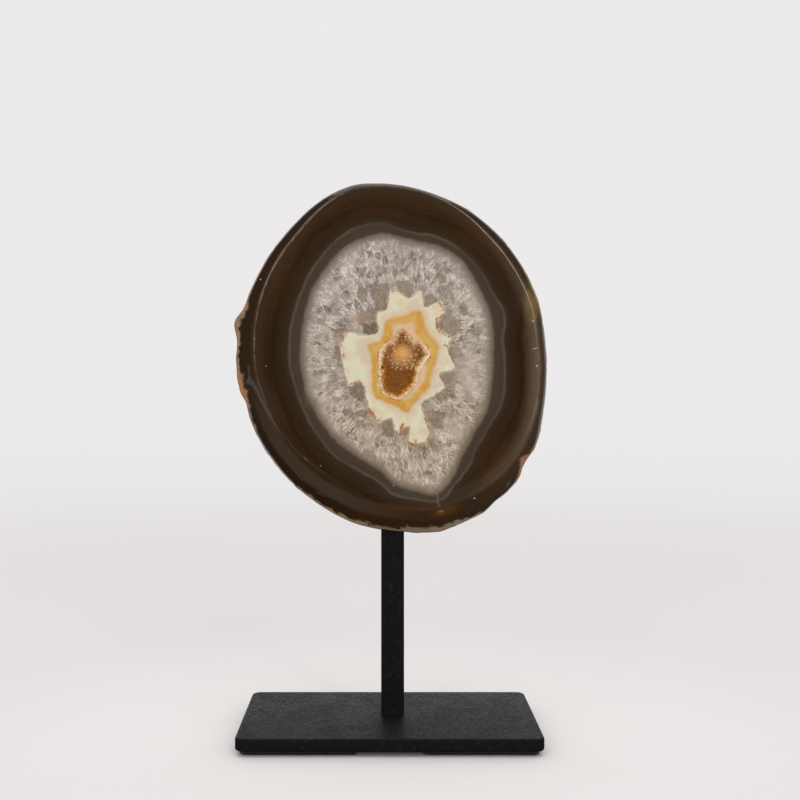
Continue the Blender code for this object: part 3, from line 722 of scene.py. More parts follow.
def stone_rings():
    """Rings of points in millimetres, from the pocket's bottom over the face to the back."""
    outline = radius_by_angle(STONE_OUTLINE, (0, 0))
    waves = lump_waves()
    share = 2 * np.arange(NET) / NET - 1
    angles = np.concatenate([side * np.pi / 2 + np.arcsin(share * math.sqrt(0.5))
                             for side in range(4)])
    width = shoulder_width(angles)
    depth = around_rim(SHOULDER_DEPTH, angles)
    edge = on_ring(outline(angles) - width, angles, np.full_like(angles, FACE_Y))
    centre = np.array([POCKET_CENTRE[0], FACE_Y, POCKET_CENTRE[1]])
    outwards = edge - centre
    bearing = np.arctan2(outwards[:, 2], outwards[:, 0])
    lip = centre + on_ring(mouth_radius(bearing), bearing, np.zeros_like(bearing))

    rings = []
    for step in range(POCKET_RINGS, 0, -1):
        turn = math.pi / 2 * (step - 0.25) / POCKET_RINGS
        ring = centre + (lip - centre) * math.cos(turn) ** POCKET_WALL
        ring[:, 1] = FACE_Y + POCKET_DEPTH * math.sin(turn) ** POCKET_BOTTOM
        rings.append(ring)
    for step in range(FACE_RINGS + 1):
        t = (step / FACE_RINGS) ** FACE_SPREAD
        rings.append(lip + (edge - lip) * t)
    for step in range(1, SHOULDER_RINGS + 1):
        turn = math.pi / 2 * step / SHOULDER_RINGS
        inset = POLISH_RIM + (width - POLISH_RIM) * (1 - math.sin(turn))
        radius = outline(angles) - inset + rim_chip(angles) * math.sin(turn) ** CHIP_ONSET
        rings.append(on_ring(radius, angles, FACE_Y + depth * (1 - math.cos(turn))))
    for step in range(1, SIDE_COUNT + 1):
        behind = SIDE_REACH * step / SIDE_COUNT
        inset = float(np.interp(behind, SIDE_BEHIND, SIDE_INSET))
        rings.append(on_ring(outline(angles) - inset + rim_chip(angles), angles,
                             FACE_Y + depth + behind))
    for step in range(1, DOME_COUNT + 1):
        rings.append(dome_points(angles, DOME_LAST * step / DOME_COUNT, outline, waves))

    up, across = np.meshgrid(share[1:], share[1:], indexing="ij")
    x = (across * np.sqrt(1 - up * up / 2)).ravel()
    z = (up * np.sqrt(1 - across * across / 2)).ravel()
    reach = np.minimum(1.0, np.hypot(x, z))
    turn = np.arccos(reach ** (1 / DOME_FULLNESS) * math.cos(DOME_LAST))
    back = dome_points(np.arctan2(z, x), turn, outline, waves)
    return rings, back


def stone_faces(ring_count):
    """Quads that skin the rings and the net of the back, and a fan in the pocket's bottom."""
    count = 4 * NET
    k = np.arange(count)
    following = (k + 1) % count
    faces = []
    for ring in range(ring_count - 1):
        near = ring * count
        far = near + count
        faces += np.stack([near + k, far + k, far + following, near + following], axis=1).tolist()
    last = (ring_count - 1) * count
    rim = (last + k).tolist()
    inner = np.arange((NET - 1) ** 2).reshape(NET - 1, NET - 1) + ring_count * count
    right = rim[:NET + 1]
    left = rim[2 * NET:3 * NET + 1][::-1]
    net = [rim[3 * NET:] + rim[:1]]
    for row in range(NET - 1):
        net.append([left[row + 1]] + inner[row].tolist() + [right[row + 1]])
    net.append(rim[NET:2 * NET + 1][::-1])
    for lower, upper in zip(net, net[1:]):
        for column in range(NET):
            faces.append((lower[column], upper[column], upper[column + 1], lower[column + 1]))
    tip = ring_count * count + (NET - 1) ** 2
    faces += [(tip, int(a), int(b)) for a, b in zip(k, following)]
    return faces


def behind_shoulder(points, angle):
    """How far behind the polished shoulder a point lies, in millimetres."""
    return points[:, 1] - FACE_Y - around_rim(SHOULDER_DEPTH, angle)


def rind_share(points):
    """0 on polished stone and 1 on the natural skin, with a ragged border between them."""
    angle = np.arctan2(points[:, 2], points[:, 0])
    outline = radius_by_angle(STONE_OUTLINE, (0, 0))
    from_rim = outline(angle) + rim_chip(angle) - np.hypot(points[:, 0], points[:, 2])
    past = np.maximum(behind_shoulder(points, angle), around(RIND_REACH, angle) - from_rim)
    ragged = np.zeros(len(points))
    for index in np.nonzero(np.abs(past) < BORDER_REACH)[0]:
        place = Vector(points[index])
        ragged[index] = noise.noise(place / BORDER_BAY) + 0.5 * noise.noise(place / BORDER_TOOTH)
    t = np.clip((past + BORDER_DEPTH * ragged + 0.5) / BORDER_SOFT, 0, 1)
    t[points[:, 1] > BACK_Y / 2] = 1.0
    from_pocket = np.hypot(points[:, 0] - POCKET_CENTRE[0], points[:, 2] - POCKET_CENTRE[1])
    t[(from_pocket < RIND_FREE) & (points[:, 1] < FACE_Y + POCKET_DEPTH + 0.5)] = 0.0
    return t * t * (3 - 2 * t)


def pit_depth(place, size):
    """Pits scattered about this many millimetres apart, each as wide and deep as its own draw."""
    distances, seats = noise.voronoi(place / size)
    reach = PIT_REACH * abs(noise.cell(seats[0] * PIT_DRAW))
    if distances[0] >= reach:
        return 0.0
    return PIT_DEPTH * size / LARGE_PIT * reach / PIT_REACH * (1 - (distances[0] / reach) ** 2)


def skin_depth(points, rind):
    """How far the weathered rind lies inside the smooth nodule: lumps with pits of two sizes."""
    depths = np.zeros(len(points))
    for index in np.nonzero(rind > 0)[0]:
        place = Vector(points[index])
        lumps = max(-1.0, min(1.0, SKIN_GAIN * noise.fractal(place / SKIN_LUMP, *SKIN_NOISE)))
        depths[index] = SKIN_DEPTH * (0.5 - 0.5 * lumps) + pit_depth(place, SMALL_PIT)
        depths[index] += pit_depth(place, LARGE_PIT)
    fuller = np.clip((points[:, 1] - FACE_Y - RIM_KEPT) / RIM_KEPT, 0.3, 1.0)
    return depths * rind * fuller


def distance_inside(points, loop):
    """Distance in millimetres from each (across, up) point to a loop, negative outside it."""
    best = np.full(len(points), np.inf)
    inside = np.zeros(len(points), dtype=bool)
    for a, b in zip(loop, np.roll(loop, -1, axis=0)):
        edge = b - a
        t = np.clip((points - a) @ edge / (edge @ edge), 0, 1)
        best = np.minimum(best, np.linalg.norm(points - a - t[:, None] * edge, axis=1))
        if a[1] != b[1]:
            crossing = (a[1] > points[:, 1]) != (b[1] > points[:, 1])
            inside ^= crossing & (points[:, 0] < a[0] + (points[:, 1] - a[1]) / edge[1] * edge[0])
    return np.where(inside, best, -best)


def distance_to_lines(points, lines):
    best = np.full(len(points), np.inf)
    for line in lines:
        for a, b in zip(np.array(line)[:-1], np.array(line)[1:]):
            edge = b - a
            t = np.clip((points - a) @ edge / (edge @ edge), 0, 1)
            best = np.minimum(best, np.linalg.norm(points - a - t[:, None] * edge, axis=1))
    return best


def crooked(lines):
    """The same lines bent a little at every step, as a stain creeps along crystals."""
    draw = np.random.default_rng(VEIN_SEED)
    bent = []
    for line in lines:
        line = np.array(line)
        points = [line[0]]
        for a, b in zip(line[:-1], line[1:]):
            steps = max(1, round(np.linalg.norm(b - a) / VEIN_STEP))
            points += [a + (b - a) * step / steps for step in range(1, steps + 1)]
        bent.append(np.array(points) + draw.normal(scale=VEIN_BEND, size=(len(points), 2)))
    return bent


def store(mesh, name, values):
    layer = mesh.attributes.new(name, "FLOAT", "POINT")
    layer.data.foreach_set("value", np.asarray(values, dtype=np.float32))


def store_face_zones(mesh, points):
    """Writes each zone's distance on the mesh, in millimetres and positive inside the zone."""
    flat = points[:, [0, 2]]
    angle = np.arctan2(flat[:, 1], flat[:, 0])
    outline = radius_by_angle(STONE_OUTLINE, (0, 0))
    from_rim = outline(angle) - np.hypot(flat[:, 0], flat[:, 1])
    store(mesh, "inside_line", from_rim - around(SHOULDER_LINE, angle))
    store(mesh, "olive", around(OLIVE_AND_REFLECTION, angle))
    store(mesh, "gleam", around(LINE_GLEAM, angle))
    store(mesh, "shoulder_reflection", around(SHOULDER_REFLECTION, angle))
    near_rim = np.clip(1.5 - (points[:, 1] - FACE_Y) / RUSTY_REACH, 0, 1)
    store(mesh, "near_rim", near_rim)
    store(mesh, "rusty", around(RIM_RUST, angle) * near_rim)
    glow = np.zeros(len(flat))
    for across, up, half_width, half_height, strength in BROWN_GLOWS:
        off = ((flat[:, 0] - across) / half_width) ** 2 + ((flat[:, 1] - up) / half_height) ** 2
        glow = np.maximum(glow, strength * np.exp(-off))
    store(mesh, "glow", glow)
    off = ((flat[:, 0] - THIN_EDGE[0]) / THIN_EDGE[2]) ** 2
    off = off + ((flat[:, 1] - THIN_EDGE[1]) / THIN_EDGE[3]) ** 2
    store(mesh, "thin_edge", THIN_EDGE[4] * np.exp(-off * off))
    off = np.hypot(flat[:, 0] - FRESH_BREAK[0], flat[:, 1] - FRESH_BREAK[1])
    store(mesh, "fresh_break", np.clip(1.5 - off / FRESH_BREAK[2], 0, 1))
    for name, outline, steps in (("pale_line", PALE_LINE, 4), ("quartz", QUARTZ_EDGE, 4),
                                 ("star", CREAM_STAR, 3)):
        store(mesh, name, distance_inside(flat, closed_curve(outline, steps)))
    store(mesh, "mouth", -distance_inside(flat, mouth_loop(120)))
    outside = distance_inside(flat, closed_curve(ORANGE_OUTSIDE, 4))
    inside = distance_inside(flat, closed_curve(ORANGE_INSIDE, 4))
    store(mesh, "orange", np.minimum(outside, -inside))
    store(mesh, "core", outside)
    clear = np.full(len(flat), -99.0)
    tone = np.zeros(len(flat))
    for shade, corners in CLEAR_CRYSTALS:
        distance = distance_inside(flat, np.array(corners))
        tone = np.where(distance > clear, shade, tone)
        clear = np.maximum(clear, distance)
    store(mesh, "clear_crystal", clear)
    store(mesh, "clear_tone", tone)
    store(mesh, "rust", distance_to_lines(flat, crooked(RUST_LINES)))
    store(mesh, "tube", distance_to_lines(flat, [TUBE]))
    store(mesh, "rind", rind_share(points))


def read(tree, name):
    return add(tree, "ShaderNodeAttribute", attribute_name=name).outputs["Fac"]


def ramp(tree, value, low, high, stops):
    """Colours along a value that runs from low to high. Stops are (place, colour) pairs."""
    made = add(tree, "ShaderNodeValToRGB")
    share = add(tree, "ShaderNodeMapRange", {"Value": value, "From Min": low, "From Max": high})
    tree.links.new(share.outputs["Result"], made.inputs["Fac"])
    elements = made.color_ramp.elements
    elements[0].position = (stops[0][0] - low) / (high - low)
    elements[0].color = stops[0][1]
    elements[1].position = (stops[-1][0] - low) / (high - low)
    elements[1].color = stops[-1][1]
    for place, colour in stops[1:-1]:
        elements.new((place - low) / (high - low)).color = colour
    return made.outputs["Color"]


def growth_directions(tree, place):
    """Distance from the middle of the quartz and the unit directions outwards and along it."""
    middle = (QUARTZ_MIDDLE[0], 0.0, STONE_Z + QUARTZ_MIDDLE[1])
    from_middle = vector_maths(tree, "SUBTRACT", place, middle)
    flat = vector_maths(tree, "MULTIPLY", from_middle, (1.0, 0.0, 1.0))
    outward = vector_maths(tree, "NORMALIZE", flat)
    parts = add(tree, "ShaderNodeSeparateXYZ", {"Vector": outward}).outputs
    return vector_maths(tree, "LENGTH", flat), parts["X"], parts["Z"]


def crystal_cells(tree, directions, width, length, seed):
    """A place whose unit cells are crystals about width by length millimetres, grown outwards."""
    radius, cosine, sine = directions
    girth = QUARTZ_RADIUS / width
    return add(tree, "ShaderNodeCombineXYZ",
               {"X": maths(tree, "MULTIPLY", cosine, girth),
                "Y": maths(tree, "MULTIPLY", sine, girth),
                "Z": maths(tree, "MULTIPLY_ADD", radius, 1 / length, seed)}).outputs[0]


def plumes(tree, directions, width, length, fibre, seed):
    """Fibres, 0 to 1, that fan out from each crystal's middle line, and each crystal's draw."""
    _, cosine, sine = directions
    cells = crystal_cells(tree, directions, width, length, seed)
    crystal = add(tree, "ShaderNodeTexVoronoi", {"Vector": cells, "Scale": 1.0}).outputs
    off = vector_maths(tree, "SUBTRACT", cells, crystal["Position"])
    sidewards = add(tree, "ShaderNodeCombineXYZ",
                    {"X": maths(tree, "MULTIPLY", sine, -1.0), "Y": cosine}).outputs[0]
    side = vector_maths(tree, "DOT_PRODUCT", off, sidewards)
    outwards = add(tree, "ShaderNodeSeparateXYZ", {"Vector": off}).outputs["Z"]
    draw = add(tree, "ShaderNodeSeparateColor", {"Color": crystal["Color"]}).outputs
    lean = maths(tree, "MULTIPLY_ADD", draw["Red"], 0.5, -0.25)
    side = maths(tree, "ABSOLUTE", maths(tree, "ADD", side, lean))
    side = maths(tree, "MULTIPLY", side, width)
    outwards = maths(tree, "MULTIPLY", outwards, length)
    fan = between(tree, draw["Green"], 0.0, 1.0, 0.06, 0.42)
    across = maths(tree, "SUBTRACT", side, maths(tree, "MULTIPLY", outwards, fan))
    along = maths(tree, "ADD", outwards, maths(tree, "MULTIPLY", side, fan))
    strand = add(tree, "ShaderNodeCombineXYZ",
                 {"X": maths(tree, "DIVIDE", across, fibre),
                  "Y": maths(tree, "DIVIDE", along, fibre * FIBRE_LENGTH),
                  "Z": maths(tree, "MULTIPLY", draw["Blue"], 60.0)}).outputs[0]
    fibres = add(tree, "ShaderNodeTexNoise", {"Vector": strand, "Scale": 1.0, "Detail": 2.0,
                                              "Roughness": 0.6}).outputs["Fac"]
    return fibres, draw["Red"]


def quartz_colour(tree, place, depth, star):
    """Grey translucent quartz with white plumes. Depth is millimetres inside its border."""
    curl = add(tree, "ShaderNodeTexNoise",
               {"Vector": place, "Scale": 1 / PLUME_CURL_SIZE, "Detail": 2.0}).outputs["Color"]
    curl = vector_scale(tree, vector_maths(tree, "SUBTRACT", curl, (0.5, 0.5, 0.5)), PLUME_CURL)
    directions = growth_directions(tree, vector_maths(tree, "ADD", place, curl))
    hair, _ = plumes(tree, directions, 1.9, 6.0, 0.36, 3.7)
    feather, crystal = plumes(tree, directions, 3.8, 10.0, 0.52, 11.3)
    patches = grain(tree, place, 4.2, 2.0, 0.5, 0.6)
    webs = crystal_cells(tree, directions, 2.1, 3.6, 41.0)
    border = add(tree, "ShaderNodeTexVoronoi", {"Vector": webs, "Scale": 1.0},
                 feature="DISTANCE_TO_EDGE").outputs["Distance"]
    cell = add(tree, "ShaderNodeTexVoronoi", {"Vector": webs, "Scale": 1.0}).outputs["Color"]
    cell = add(tree, "ShaderNodeSeparateColor", {"Color": cell}).outputs
    wavy = maths(tree, "MULTIPLY_ADD", hair, 5.0, depth)

    clear = ramp(tree, depth, 0.0, 14.0,
                 [(0.0, linear(94, 85, 74)), (1.2, linear(124, 114, 103)),
                  (3.5, linear(150, 140, 129)), (7.0, linear(152, 142, 131)),
                  (14.0, linear(140, 129, 117))])
    milk = maths(tree, "MULTIPLY", between(tree, patches, 0.36, 0.62),
                 between(tree, wavy, 3.6, 9.0))
    quartz = tint(tree, milk, clear, linear(176, 166, 154))
    gap = maths(tree, "MULTIPLY", between(tree, cell["Red"], 0.26, 0.20),
                between(tree, depth, 3.5, 6.0))
    gap = maths(tree, "MULTIPLY", gap, between(tree, border, 0.02, 0.14))
    quartz = tint(tree, maths(tree, "MULTIPLY", gap, 0.65), quartz, linear(104, 94, 84))

    long = maths(tree, "MULTIPLY", between(tree, feather, 0.51, 0.60),
                 between(tree, crystal, 0.15, 0.75, 0.25, 1.0))
    white = maths(tree, "MAXIMUM", long, between(tree, hair, 0.53, 0.63, 0.0, 0.8))
    edge = maths(tree, "MULTIPLY", between(tree, border, 0.10, 0.02),
                 between(tree, cell["Green"], 0.45, 0.70, 0.0, 0.55))
    white = maths(tree, "MAXIMUM", white, edge)
    white = maths(tree, "MULTIPLY", white, between(tree, patches, 0.30, 0.56, 0.45, 1.0))
    white = maths(tree, "MULTIPLY", white, between(tree, wavy, 4.2, 8.4))
    near_star = between(tree, star, -5.0, -0.5)
    white = maths(tree, "MULTIPLY", white, maths(tree, "MULTIPLY_ADD", near_star, -0.5, 1.0))
    quartz = tint(tree, maths(tree, "MULTIPLY", near_star, 0.40), quartz, linear(154, 138, 121))
    quartz = tint(tree, maths(tree, "MULTIPLY", white, 0.74), quartz, linear(236, 230, 221))
    parts = add(tree, "ShaderNodeSeparateXYZ", {"Vector": place}).outputs
    low = maths(tree, "SUBTRACT", maths(tree, "MULTIPLY", parts["X"], 0.25), parts["Z"])
    low = between(tree, low, -50.0 - STONE_Z, 50.0 - STONE_Z)
    return tint(tree, low, quartz, (0.95, 0.87, 0.77, 1), "MULTIPLY")


def chalcedony_colour(tree, place, pale, soft):
    """Brown agate outside the pale line, with weak bands that follow it, and painted light on the
    shoulder: a highlight line, a grey-brown reflection band and part of the olive tint.
    """
    broad = grain(tree, place, 16.0, 2.0)
    bands = add(tree, "ShaderNodeCombineXYZ",
                {"X": pale, "Y": maths(tree, "MULTIPLY", broad, 3.0)}).outputs[0]
    bands = add(tree, "ShaderNodeTexNoise", {"Vector": bands, "Scale": 0.4, "Detail": 2.0,
                                             "Roughness": 0.5}).outputs["Fac"]
    brown = tint(tree, between(tree, bands, 0.35, 0.65), linear(45, 31, 17), linear(56, 40, 25))
    brown = wash(tree, brown, (42, 31, 19), pale, -9.0, -2.0, 0.0, 0.45)
    glow = maths(tree, "MULTIPLY", read(tree, "glow"), between(tree, broad, 0.30, 0.55, 0.5, 1.0))
    brown = tint(tree, glow, brown, linear(71, 42, 18))
    wobble = maths(tree, "SUBTRACT", soft, 0.5)
    inside_line = maths(tree, "MULTIPLY_ADD", wobble, 1.5, read(tree, "inside_line"))
    # Olive towards the shoulder line: partly the stone's own colour, partly a painted reflection.
    olive = maths(tree, "MULTIPLY", between(tree, inside_line, 6.5, 0.0), read(tree, "olive"))
    brown = tint(tree, olive, brown, linear(99, 84, 68))
    outside = between(tree, inside_line, -0.3, -1.6, 0.0, 0.6)
    brown = tint(tree, outside, brown, linear(40, 27, 16))
    # A painted reflection: a grey-brown band on the shoulder just outside the line.
    band = maths(tree, "MULTIPLY", between(tree, inside_line, 0.5, -0.9),
                 between(tree, inside_line, -5.6, -4.2))
    brown = tint(tree, maths(tree, "MULTIPLY", band, read(tree, "shoulder_reflection")), brown,
                 linear(66, 57, 46))
    # A painted highlight: a thin pale line where the shoulder catches the light.
    painted_shoulder_highlight = maths(tree, "ABSOLUTE", maths(tree, "SUBTRACT", read(tree, "inside_line"), 0.1))
    painted_shoulder_highlight = maths(tree, "MULTIPLY", between(tree, painted_shoulder_highlight, 0.42, 0.1),
                 between(tree, soft, 0.36, 0.55, 0.06, 0.24))
    brown = tint(tree, maths(tree, "MULTIPLY", painted_shoulder_highlight, read(tree, "gleam")), brown,
                 linear(184, 172, 152))
    dust = add(tree, "ShaderNodeTexVoronoi", {"Vector": place, "Scale": 1 / SPECK_APART}).outputs
    chosen = add(tree, "ShaderNodeSeparateColor", {"Color": dust["Color"]}).outputs["Red"]
    dust = maths(tree, "MULTIPLY", between(tree, dust["Distance"], 0.045, 0.02),
                 between(tree, chosen, 0.60, 0.70, 0.0, 0.4))
    brown = tint(tree, dust, brown, linear(170, 160, 146))
    edge = maths(tree, "MULTIPLY", read(tree, "thin_edge"),
                 between(tree, soft, 0.35, 0.6, 0.5, 1.0))
    brown = tint(tree, edge, brown, linear(126, 106, 62))
    greyness = ramp(tree, pale, -6.0, 4.0,
                    [(-6.0, (0, 0, 0, 1)), (-2.8, (0.06, 0.06, 0.06, 1)),
                     (-1.0, (0.30, 0.30, 0.30, 1)), (0.2, (0.75, 0.75, 0.75, 1)),
                     (4.0, (1, 1, 1, 1))])
    grey = tint(tree, greyness, brown, linear(73, 63, 52))
    line = maths(tree, "MULTIPLY", between(tree, maths(tree, "ABSOLUTE", pale), 1.0, 0.0),
                 between(tree, broad, 0.35, 0.6, 0.3, 0.75))
    return tint(tree, line, grey, linear(92, 80, 66))


def clear_crystal_colour(tree, place, crystals, soft):
    """Lays the darker clear crystals over the quartz, with thin brown outlines here and there."""
    clear = maths(tree, "MULTIPLY_ADD", maths(tree, "SUBTRACT", soft, 0.5), 1.2,
                  read(tree, "clear_crystal"))
    glass = ramp(tree, read(tree, "clear_tone"), 0.0, 1.0,
                 [(0.0, linear(92, 74, 58)), (0.35, linear(122, 104, 84)),
                  (0.65, linear(148, 130, 110)), (1.0, linear(182, 172, 156))])
    inside = grain(tree, place, 2.4, 2.0, 0.6, 1.0)
    glass = wash(tree, glass, (182, 168, 150), inside, 0.45, 0.70, 0.0, 0.4)
    glass = wash(tree, glass, (100, 84, 68), inside, 0.45, 0.30, 0.0, 0.35)
    crystals = tint(tree, between(tree, clear, -0.2, 0.5, 0.0, 0.78), crystals, glass)
    outline = maths(tree, "MULTIPLY", between(tree, maths(tree, "ABSOLUTE", clear), 0.30, 0.05),
                    between(tree, inside, 0.44, 0.58, 0.0, 0.55))
    return tint(tree, outline, crystals, linear(82, 60, 40))


def core_colour(tree, place, face, ragged, soft):
    """Lays the cream core, its orange band and the pink zone at the pocket over the face."""
    wobble = maths(tree, "SUBTRACT", soft, 0.5)
    star = maths(tree, "MULTIPLY_ADD", maths(tree, "SUBTRACT", ragged, 0.5), 2.0,
                 maths(tree, "MULTIPLY_ADD", wobble, 1.0, read(tree, "star")))
    core = maths(tree, "MULTIPLY_ADD", wobble, 1.4, read(tree, "core"))
    orange = maths(tree, "MULTIPLY_ADD", wobble, 1.4, read(tree, "orange"))
    cloud = grain(tree, place, 7.0, 2.0, 0.5, 0.8)
    cream = tint(tree, between(tree, soft, 0.35, 0.70), linear(223, 213, 184),
                 linear(218, 202, 166))
    cream = wash(tree, cream, (222, 220, 190), cloud, 0.50, 0.62, 0.0, 0.75)
    cream = wash(tree, cream, (208, 197, 174), cloud, 0.46, 0.36, 0.0, 0.8)
    cream = wash(tree, cream, (216, 192, 168), core, -3.6, -0.4, 0.0, 0.8)
    rim = between(tree, star, 1.1, 0.0, 0.0, 0.4)
    cream = tint(tree, rim, cream, linear(228, 222, 202))
    milky = between(tree, star, -1.3, -0.1, 0.0, 0.35)
    face = tint(tree, maths(tree, "MULTIPLY", milky, between(tree, cloud, 0.4, 0.55)), face, cream)
    face = tint(tree, between(tree, star, -0.2, 0.35), face, cream)
    face = wash(tree, face, (221, 184, 146), core, 1.6, 4.4)
    band = tint(tree, between(tree, soft, 0.40, 0.65), linear(213, 170, 88), linear(207, 153, 66))
    face = tint(tree, between(tree, orange, -1.1, 0.4, 0.0, 0.95), face, band)
    crest = between(tree, maths(tree, "ABSOLUTE", maths(tree, "SUBTRACT", core, 0.7)), 0.7, 0.1)
    face = tint(tree, maths(tree, "MULTIPLY", crest, 0.3), face, linear(200, 146, 58))
    lip = maths(tree, "ABSOLUTE", maths(tree, "SUBTRACT", read(tree, "mouth"), 0.3))
    lip = maths(tree, "MULTIPLY", between(tree, lip, 0.30, 0.08),
                between(tree, soft, 0.44, 0.58, 0.0, 0.5))
    return tint(tree, lip, face, linear(136, 104, 68))


def rind_colour(tree, place, grit):
    """Tan limy skin with faint ochre and grey-green areas and pale grains, darker the deeper it
    lies in its pits.
    """
    clump = grain(tree, place, 6.0, 3.0, 0.6)
    rind = tint(tree, between(tree, clump, 0.35, 0.65), linear(112, 96, 77), linear(144, 125, 102))
    area = grain(tree, place, 19.0, 3.0, 0.6, 0.6)
    rind = wash(tree, rind, (158, 114, 72), area, 0.50, 0.70, 0.0, 0.45)
    rind = wash(tree, rind, (106, 100, 80), area, 0.44, 0.32, 0.0, 0.45)
    rind = tint(tree, maths(tree, "MULTIPLY", read(tree, "near_rim"), 0.5), rind,
                linear(152, 140, 118))
    rusty = maths(tree, "MULTIPLY", read(tree, "rusty"), between(tree, clump, 0.38, 0.58, 0.2, 0.9))
    rind = tint(tree, rusty, rind, linear(186, 116, 50))
    rind = wash(tree, rind, (182, 166, 140), grit, 0.56, 0.75, 0.0, 0.6)
    rind = wash(tree, rind, (74, 56, 40), grit, 0.44, 0.28, 0.0, 0.6)
    return wash(tree, rind, (72, 56, 41), read(tree, "pit"), 0.7, 1.7, 0.0, 0.6)


def face_marks(tree, place, face):
    """Lays stains, specks, scratches and painted highlights, one by one, over the polished face."""
    for across, up, half_length, half_width, degrees, core, share, colour in FACE_MARKS:
        shape = mark(tree, place, (across, 0, STONE_Z + up), (half_length, 1000, half_width),
                     (0, math.radians(-degrees), 0), core)
        face = tint(tree, maths(tree, "MULTIPLY", shape, share), face, linear(*colour))
    return face


def agate_finish():
    material, tree, shader = new_finish("polished_agate_and_rind", 0.1)
    place = millimetres(tree)
    ragged = grain(tree, place, 1.1, 3.0, 0.6)
    soft = grain(tree, place, 3.0, 2.0)
    grit = grain(tree, place, 0.8, 3.0, 0.7)
    wobble = maths(tree, "SUBTRACT", soft, 0.5)
    pale = maths(tree, "MULTIPLY_ADD", wobble, 1.2, read(tree, "pale_line"))
    depth = maths(tree, "MULTIPLY_ADD", wobble, 1.2, read(tree, "quartz"))
    star = read(tree, "star")

    face = chalcedony_colour(tree, place, pale, soft)
    crystals = quartz_colour(tree, place, depth, star)
    crystals = clear_crystal_colour(tree, place, crystals, soft)
    face = tint(tree, between(tree, depth, -0.5, 0.5), face, crystals)
    face = core_colour(tree, place, face, ragged, soft)

    rust = maths(tree, "MULTIPLY_ADD", maths(tree, "SUBTRACT", ragged, 0.5), 1.3,
                 read(tree, "rust"))
    halo = maths(tree, "MULTIPLY", between(tree, rust, 1.1, 0.2),
                 between(tree, soft, 0.42, 0.62, 0.1, 0.45))
    face = tint(tree, halo, face, linear(196, 142, 92))
    vein = maths(tree, "MULTIPLY", between(tree, rust, 0.38, 0.0),
                 between(tree, soft, 0.36, 0.56, 0.3, 0.9))
    vein_colour = tint(tree, between(tree, ragged, 0.42, 0.56), linear(158, 88, 40),
                       linear(92, 58, 34))
    face = tint(tree, vein, face, vein_colour)
    face = wash(tree, face, (128, 116, 94), read(tree, "tube"), 0.8, 0.0, 0.0, 0.45)

    face = face_marks(tree, place, face)

    rind_here = read(tree, "rind")
    face = tint(tree, rind_here, face, rind_colour(tree, place, grit))
    fresh = maths(tree, "MULTIPLY", read(tree, "fresh_break"), rind_here)
    face = tint(tree, fresh, face, linear(158, 98, 58))
    feed(tree, shader.inputs["Base Color"], face)
    polish = between(tree, soft, 0.3, 0.7, 0.07, 0.10)
    feed(tree, shader.inputs["Roughness"], maths(tree, "MULTIPLY_ADD", rind_here, 0.75, polish))
    height = maths(tree, "MULTIPLY", grit, rind_here)
    feed(tree, shader.inputs["Normal"], bump(tree, height, 0.7))
    return material


def seat_cutter():
    """A block over the post's top, which cuts the flat seat for it into the stone."""
    side = post_high.x - post_low.x + SEAT_PLAY
    builder = bmesh.new()
    bmesh.ops.create_cube(builder, size=1.0)
    bmesh.ops.scale(builder, vec=(side, side, CUTTER_HEIGHT), verts=builder.verts)
    middle = (post_middle.x, post_middle.y, post_high.z + SEAT_DEPTH - CUTTER_HEIGHT / 2)
    return piece_from("seat_cutter", builder, paint, middle)


def make_stone():
    rings, back = stone_rings()
    points = np.concatenate(rings + [back])
    bottom = [[POCKET_CENTRE[0], FACE_Y + POCKET_DEPTH, POCKET_CENTRE[1]]]
    points = np.concatenate([points, bottom])
    mesh = bpy.data.meshes.new("stone_dressed")
    on_stand = np.array([0, 0, STONE_Z])
    mesh.from_pydata(((points + on_stand) * MM).tolist(), [], stone_faces(len(rings)))
    normals = np.empty(len(points) * 3, dtype=np.float32)
    mesh.vertex_normals.foreach_get("vector", normals)
    depth = skin_depth(points, rind_share(points))
    points = points - normals.reshape(-1, 3) * depth[:, None]
    store(mesh, "pit", depth)
    mesh.vertices.foreach_set("co", ((points + on_stand) * MM).astype(np.float32).ravel())
    mesh.update()
    stone = bpy.data.objects.new("agate_stone", mesh)
    bpy.context.scene.collection.objects.link(stone)

    cutter = seat_cutter()
    modifier = stone.modifiers.new("seat", "BOOLEAN")
    modifier.operation = "DIFFERENCE"
    modifier.solver = "MANIFOLD"
    modifier.object = cutter
    depsgraph = bpy.context.evaluated_depsgraph_get()
    stone.data = bpy.data.meshes.new_from_object(stone.evaluated_get(depsgraph))
    stone.modifiers.clear()
    bpy.data.objects.remove(cutter)

    mesh = stone.data
    final = np.empty(len(mesh.vertices) * 3, dtype=np.float32)
    mesh.vertices.foreach_get("co", final)
    low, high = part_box("stone")
    final = np.clip(final.reshape(-1, 3), np.array(low), np.array(high))
    mesh.vertices.foreach_set("co", final.ravel())
    store_face_zones(mesh, final.astype(float) / MM - on_stand)
    mesh.materials.clear()
    mesh.materials.append(agate_finish())
    mesh.shade_smooth()
    mesh.set_sharp_from_angle(angle=math.radians(50))
    return stone


stone = make_stone()
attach(stone, "root")
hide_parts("stone")

# Crystals.
# The pocket's own lining, grown in place: a crust of small golden quartz crystals on every
# wall, paler at the lip, with a rounded knob in the upper half and a smoother floor below.
CRUST_COLUMNS = 168
CRUST_RINGS = 40
# How far the lining stays from the stone, how deep its lip lies, and how wide and low that is.
CRUST_GAP = 0.05
LIP_SINK = 0.28
LIP_WIDTH = 0.4
LIP_FALL = 0.25
# The lip's crystals are larger and closer together up to this far from it.
LIP_ZONE = 1.3
LIP_SIZES = (0.35, 0.75)
LIP_CLOSER = 0.8
# How pale the lip's crystals are, at these angles in degrees around the pocket.
LIP_FROST = [(0, 0.9), (35, 1.0), (60, 0.6), (90, 0.15), (120, 0.5), (145, 1.0), (168, 0.8),
             (190, 0.3), (240, 0.3), (270, 0.5), (300, 0.45), (330, 0.55)]
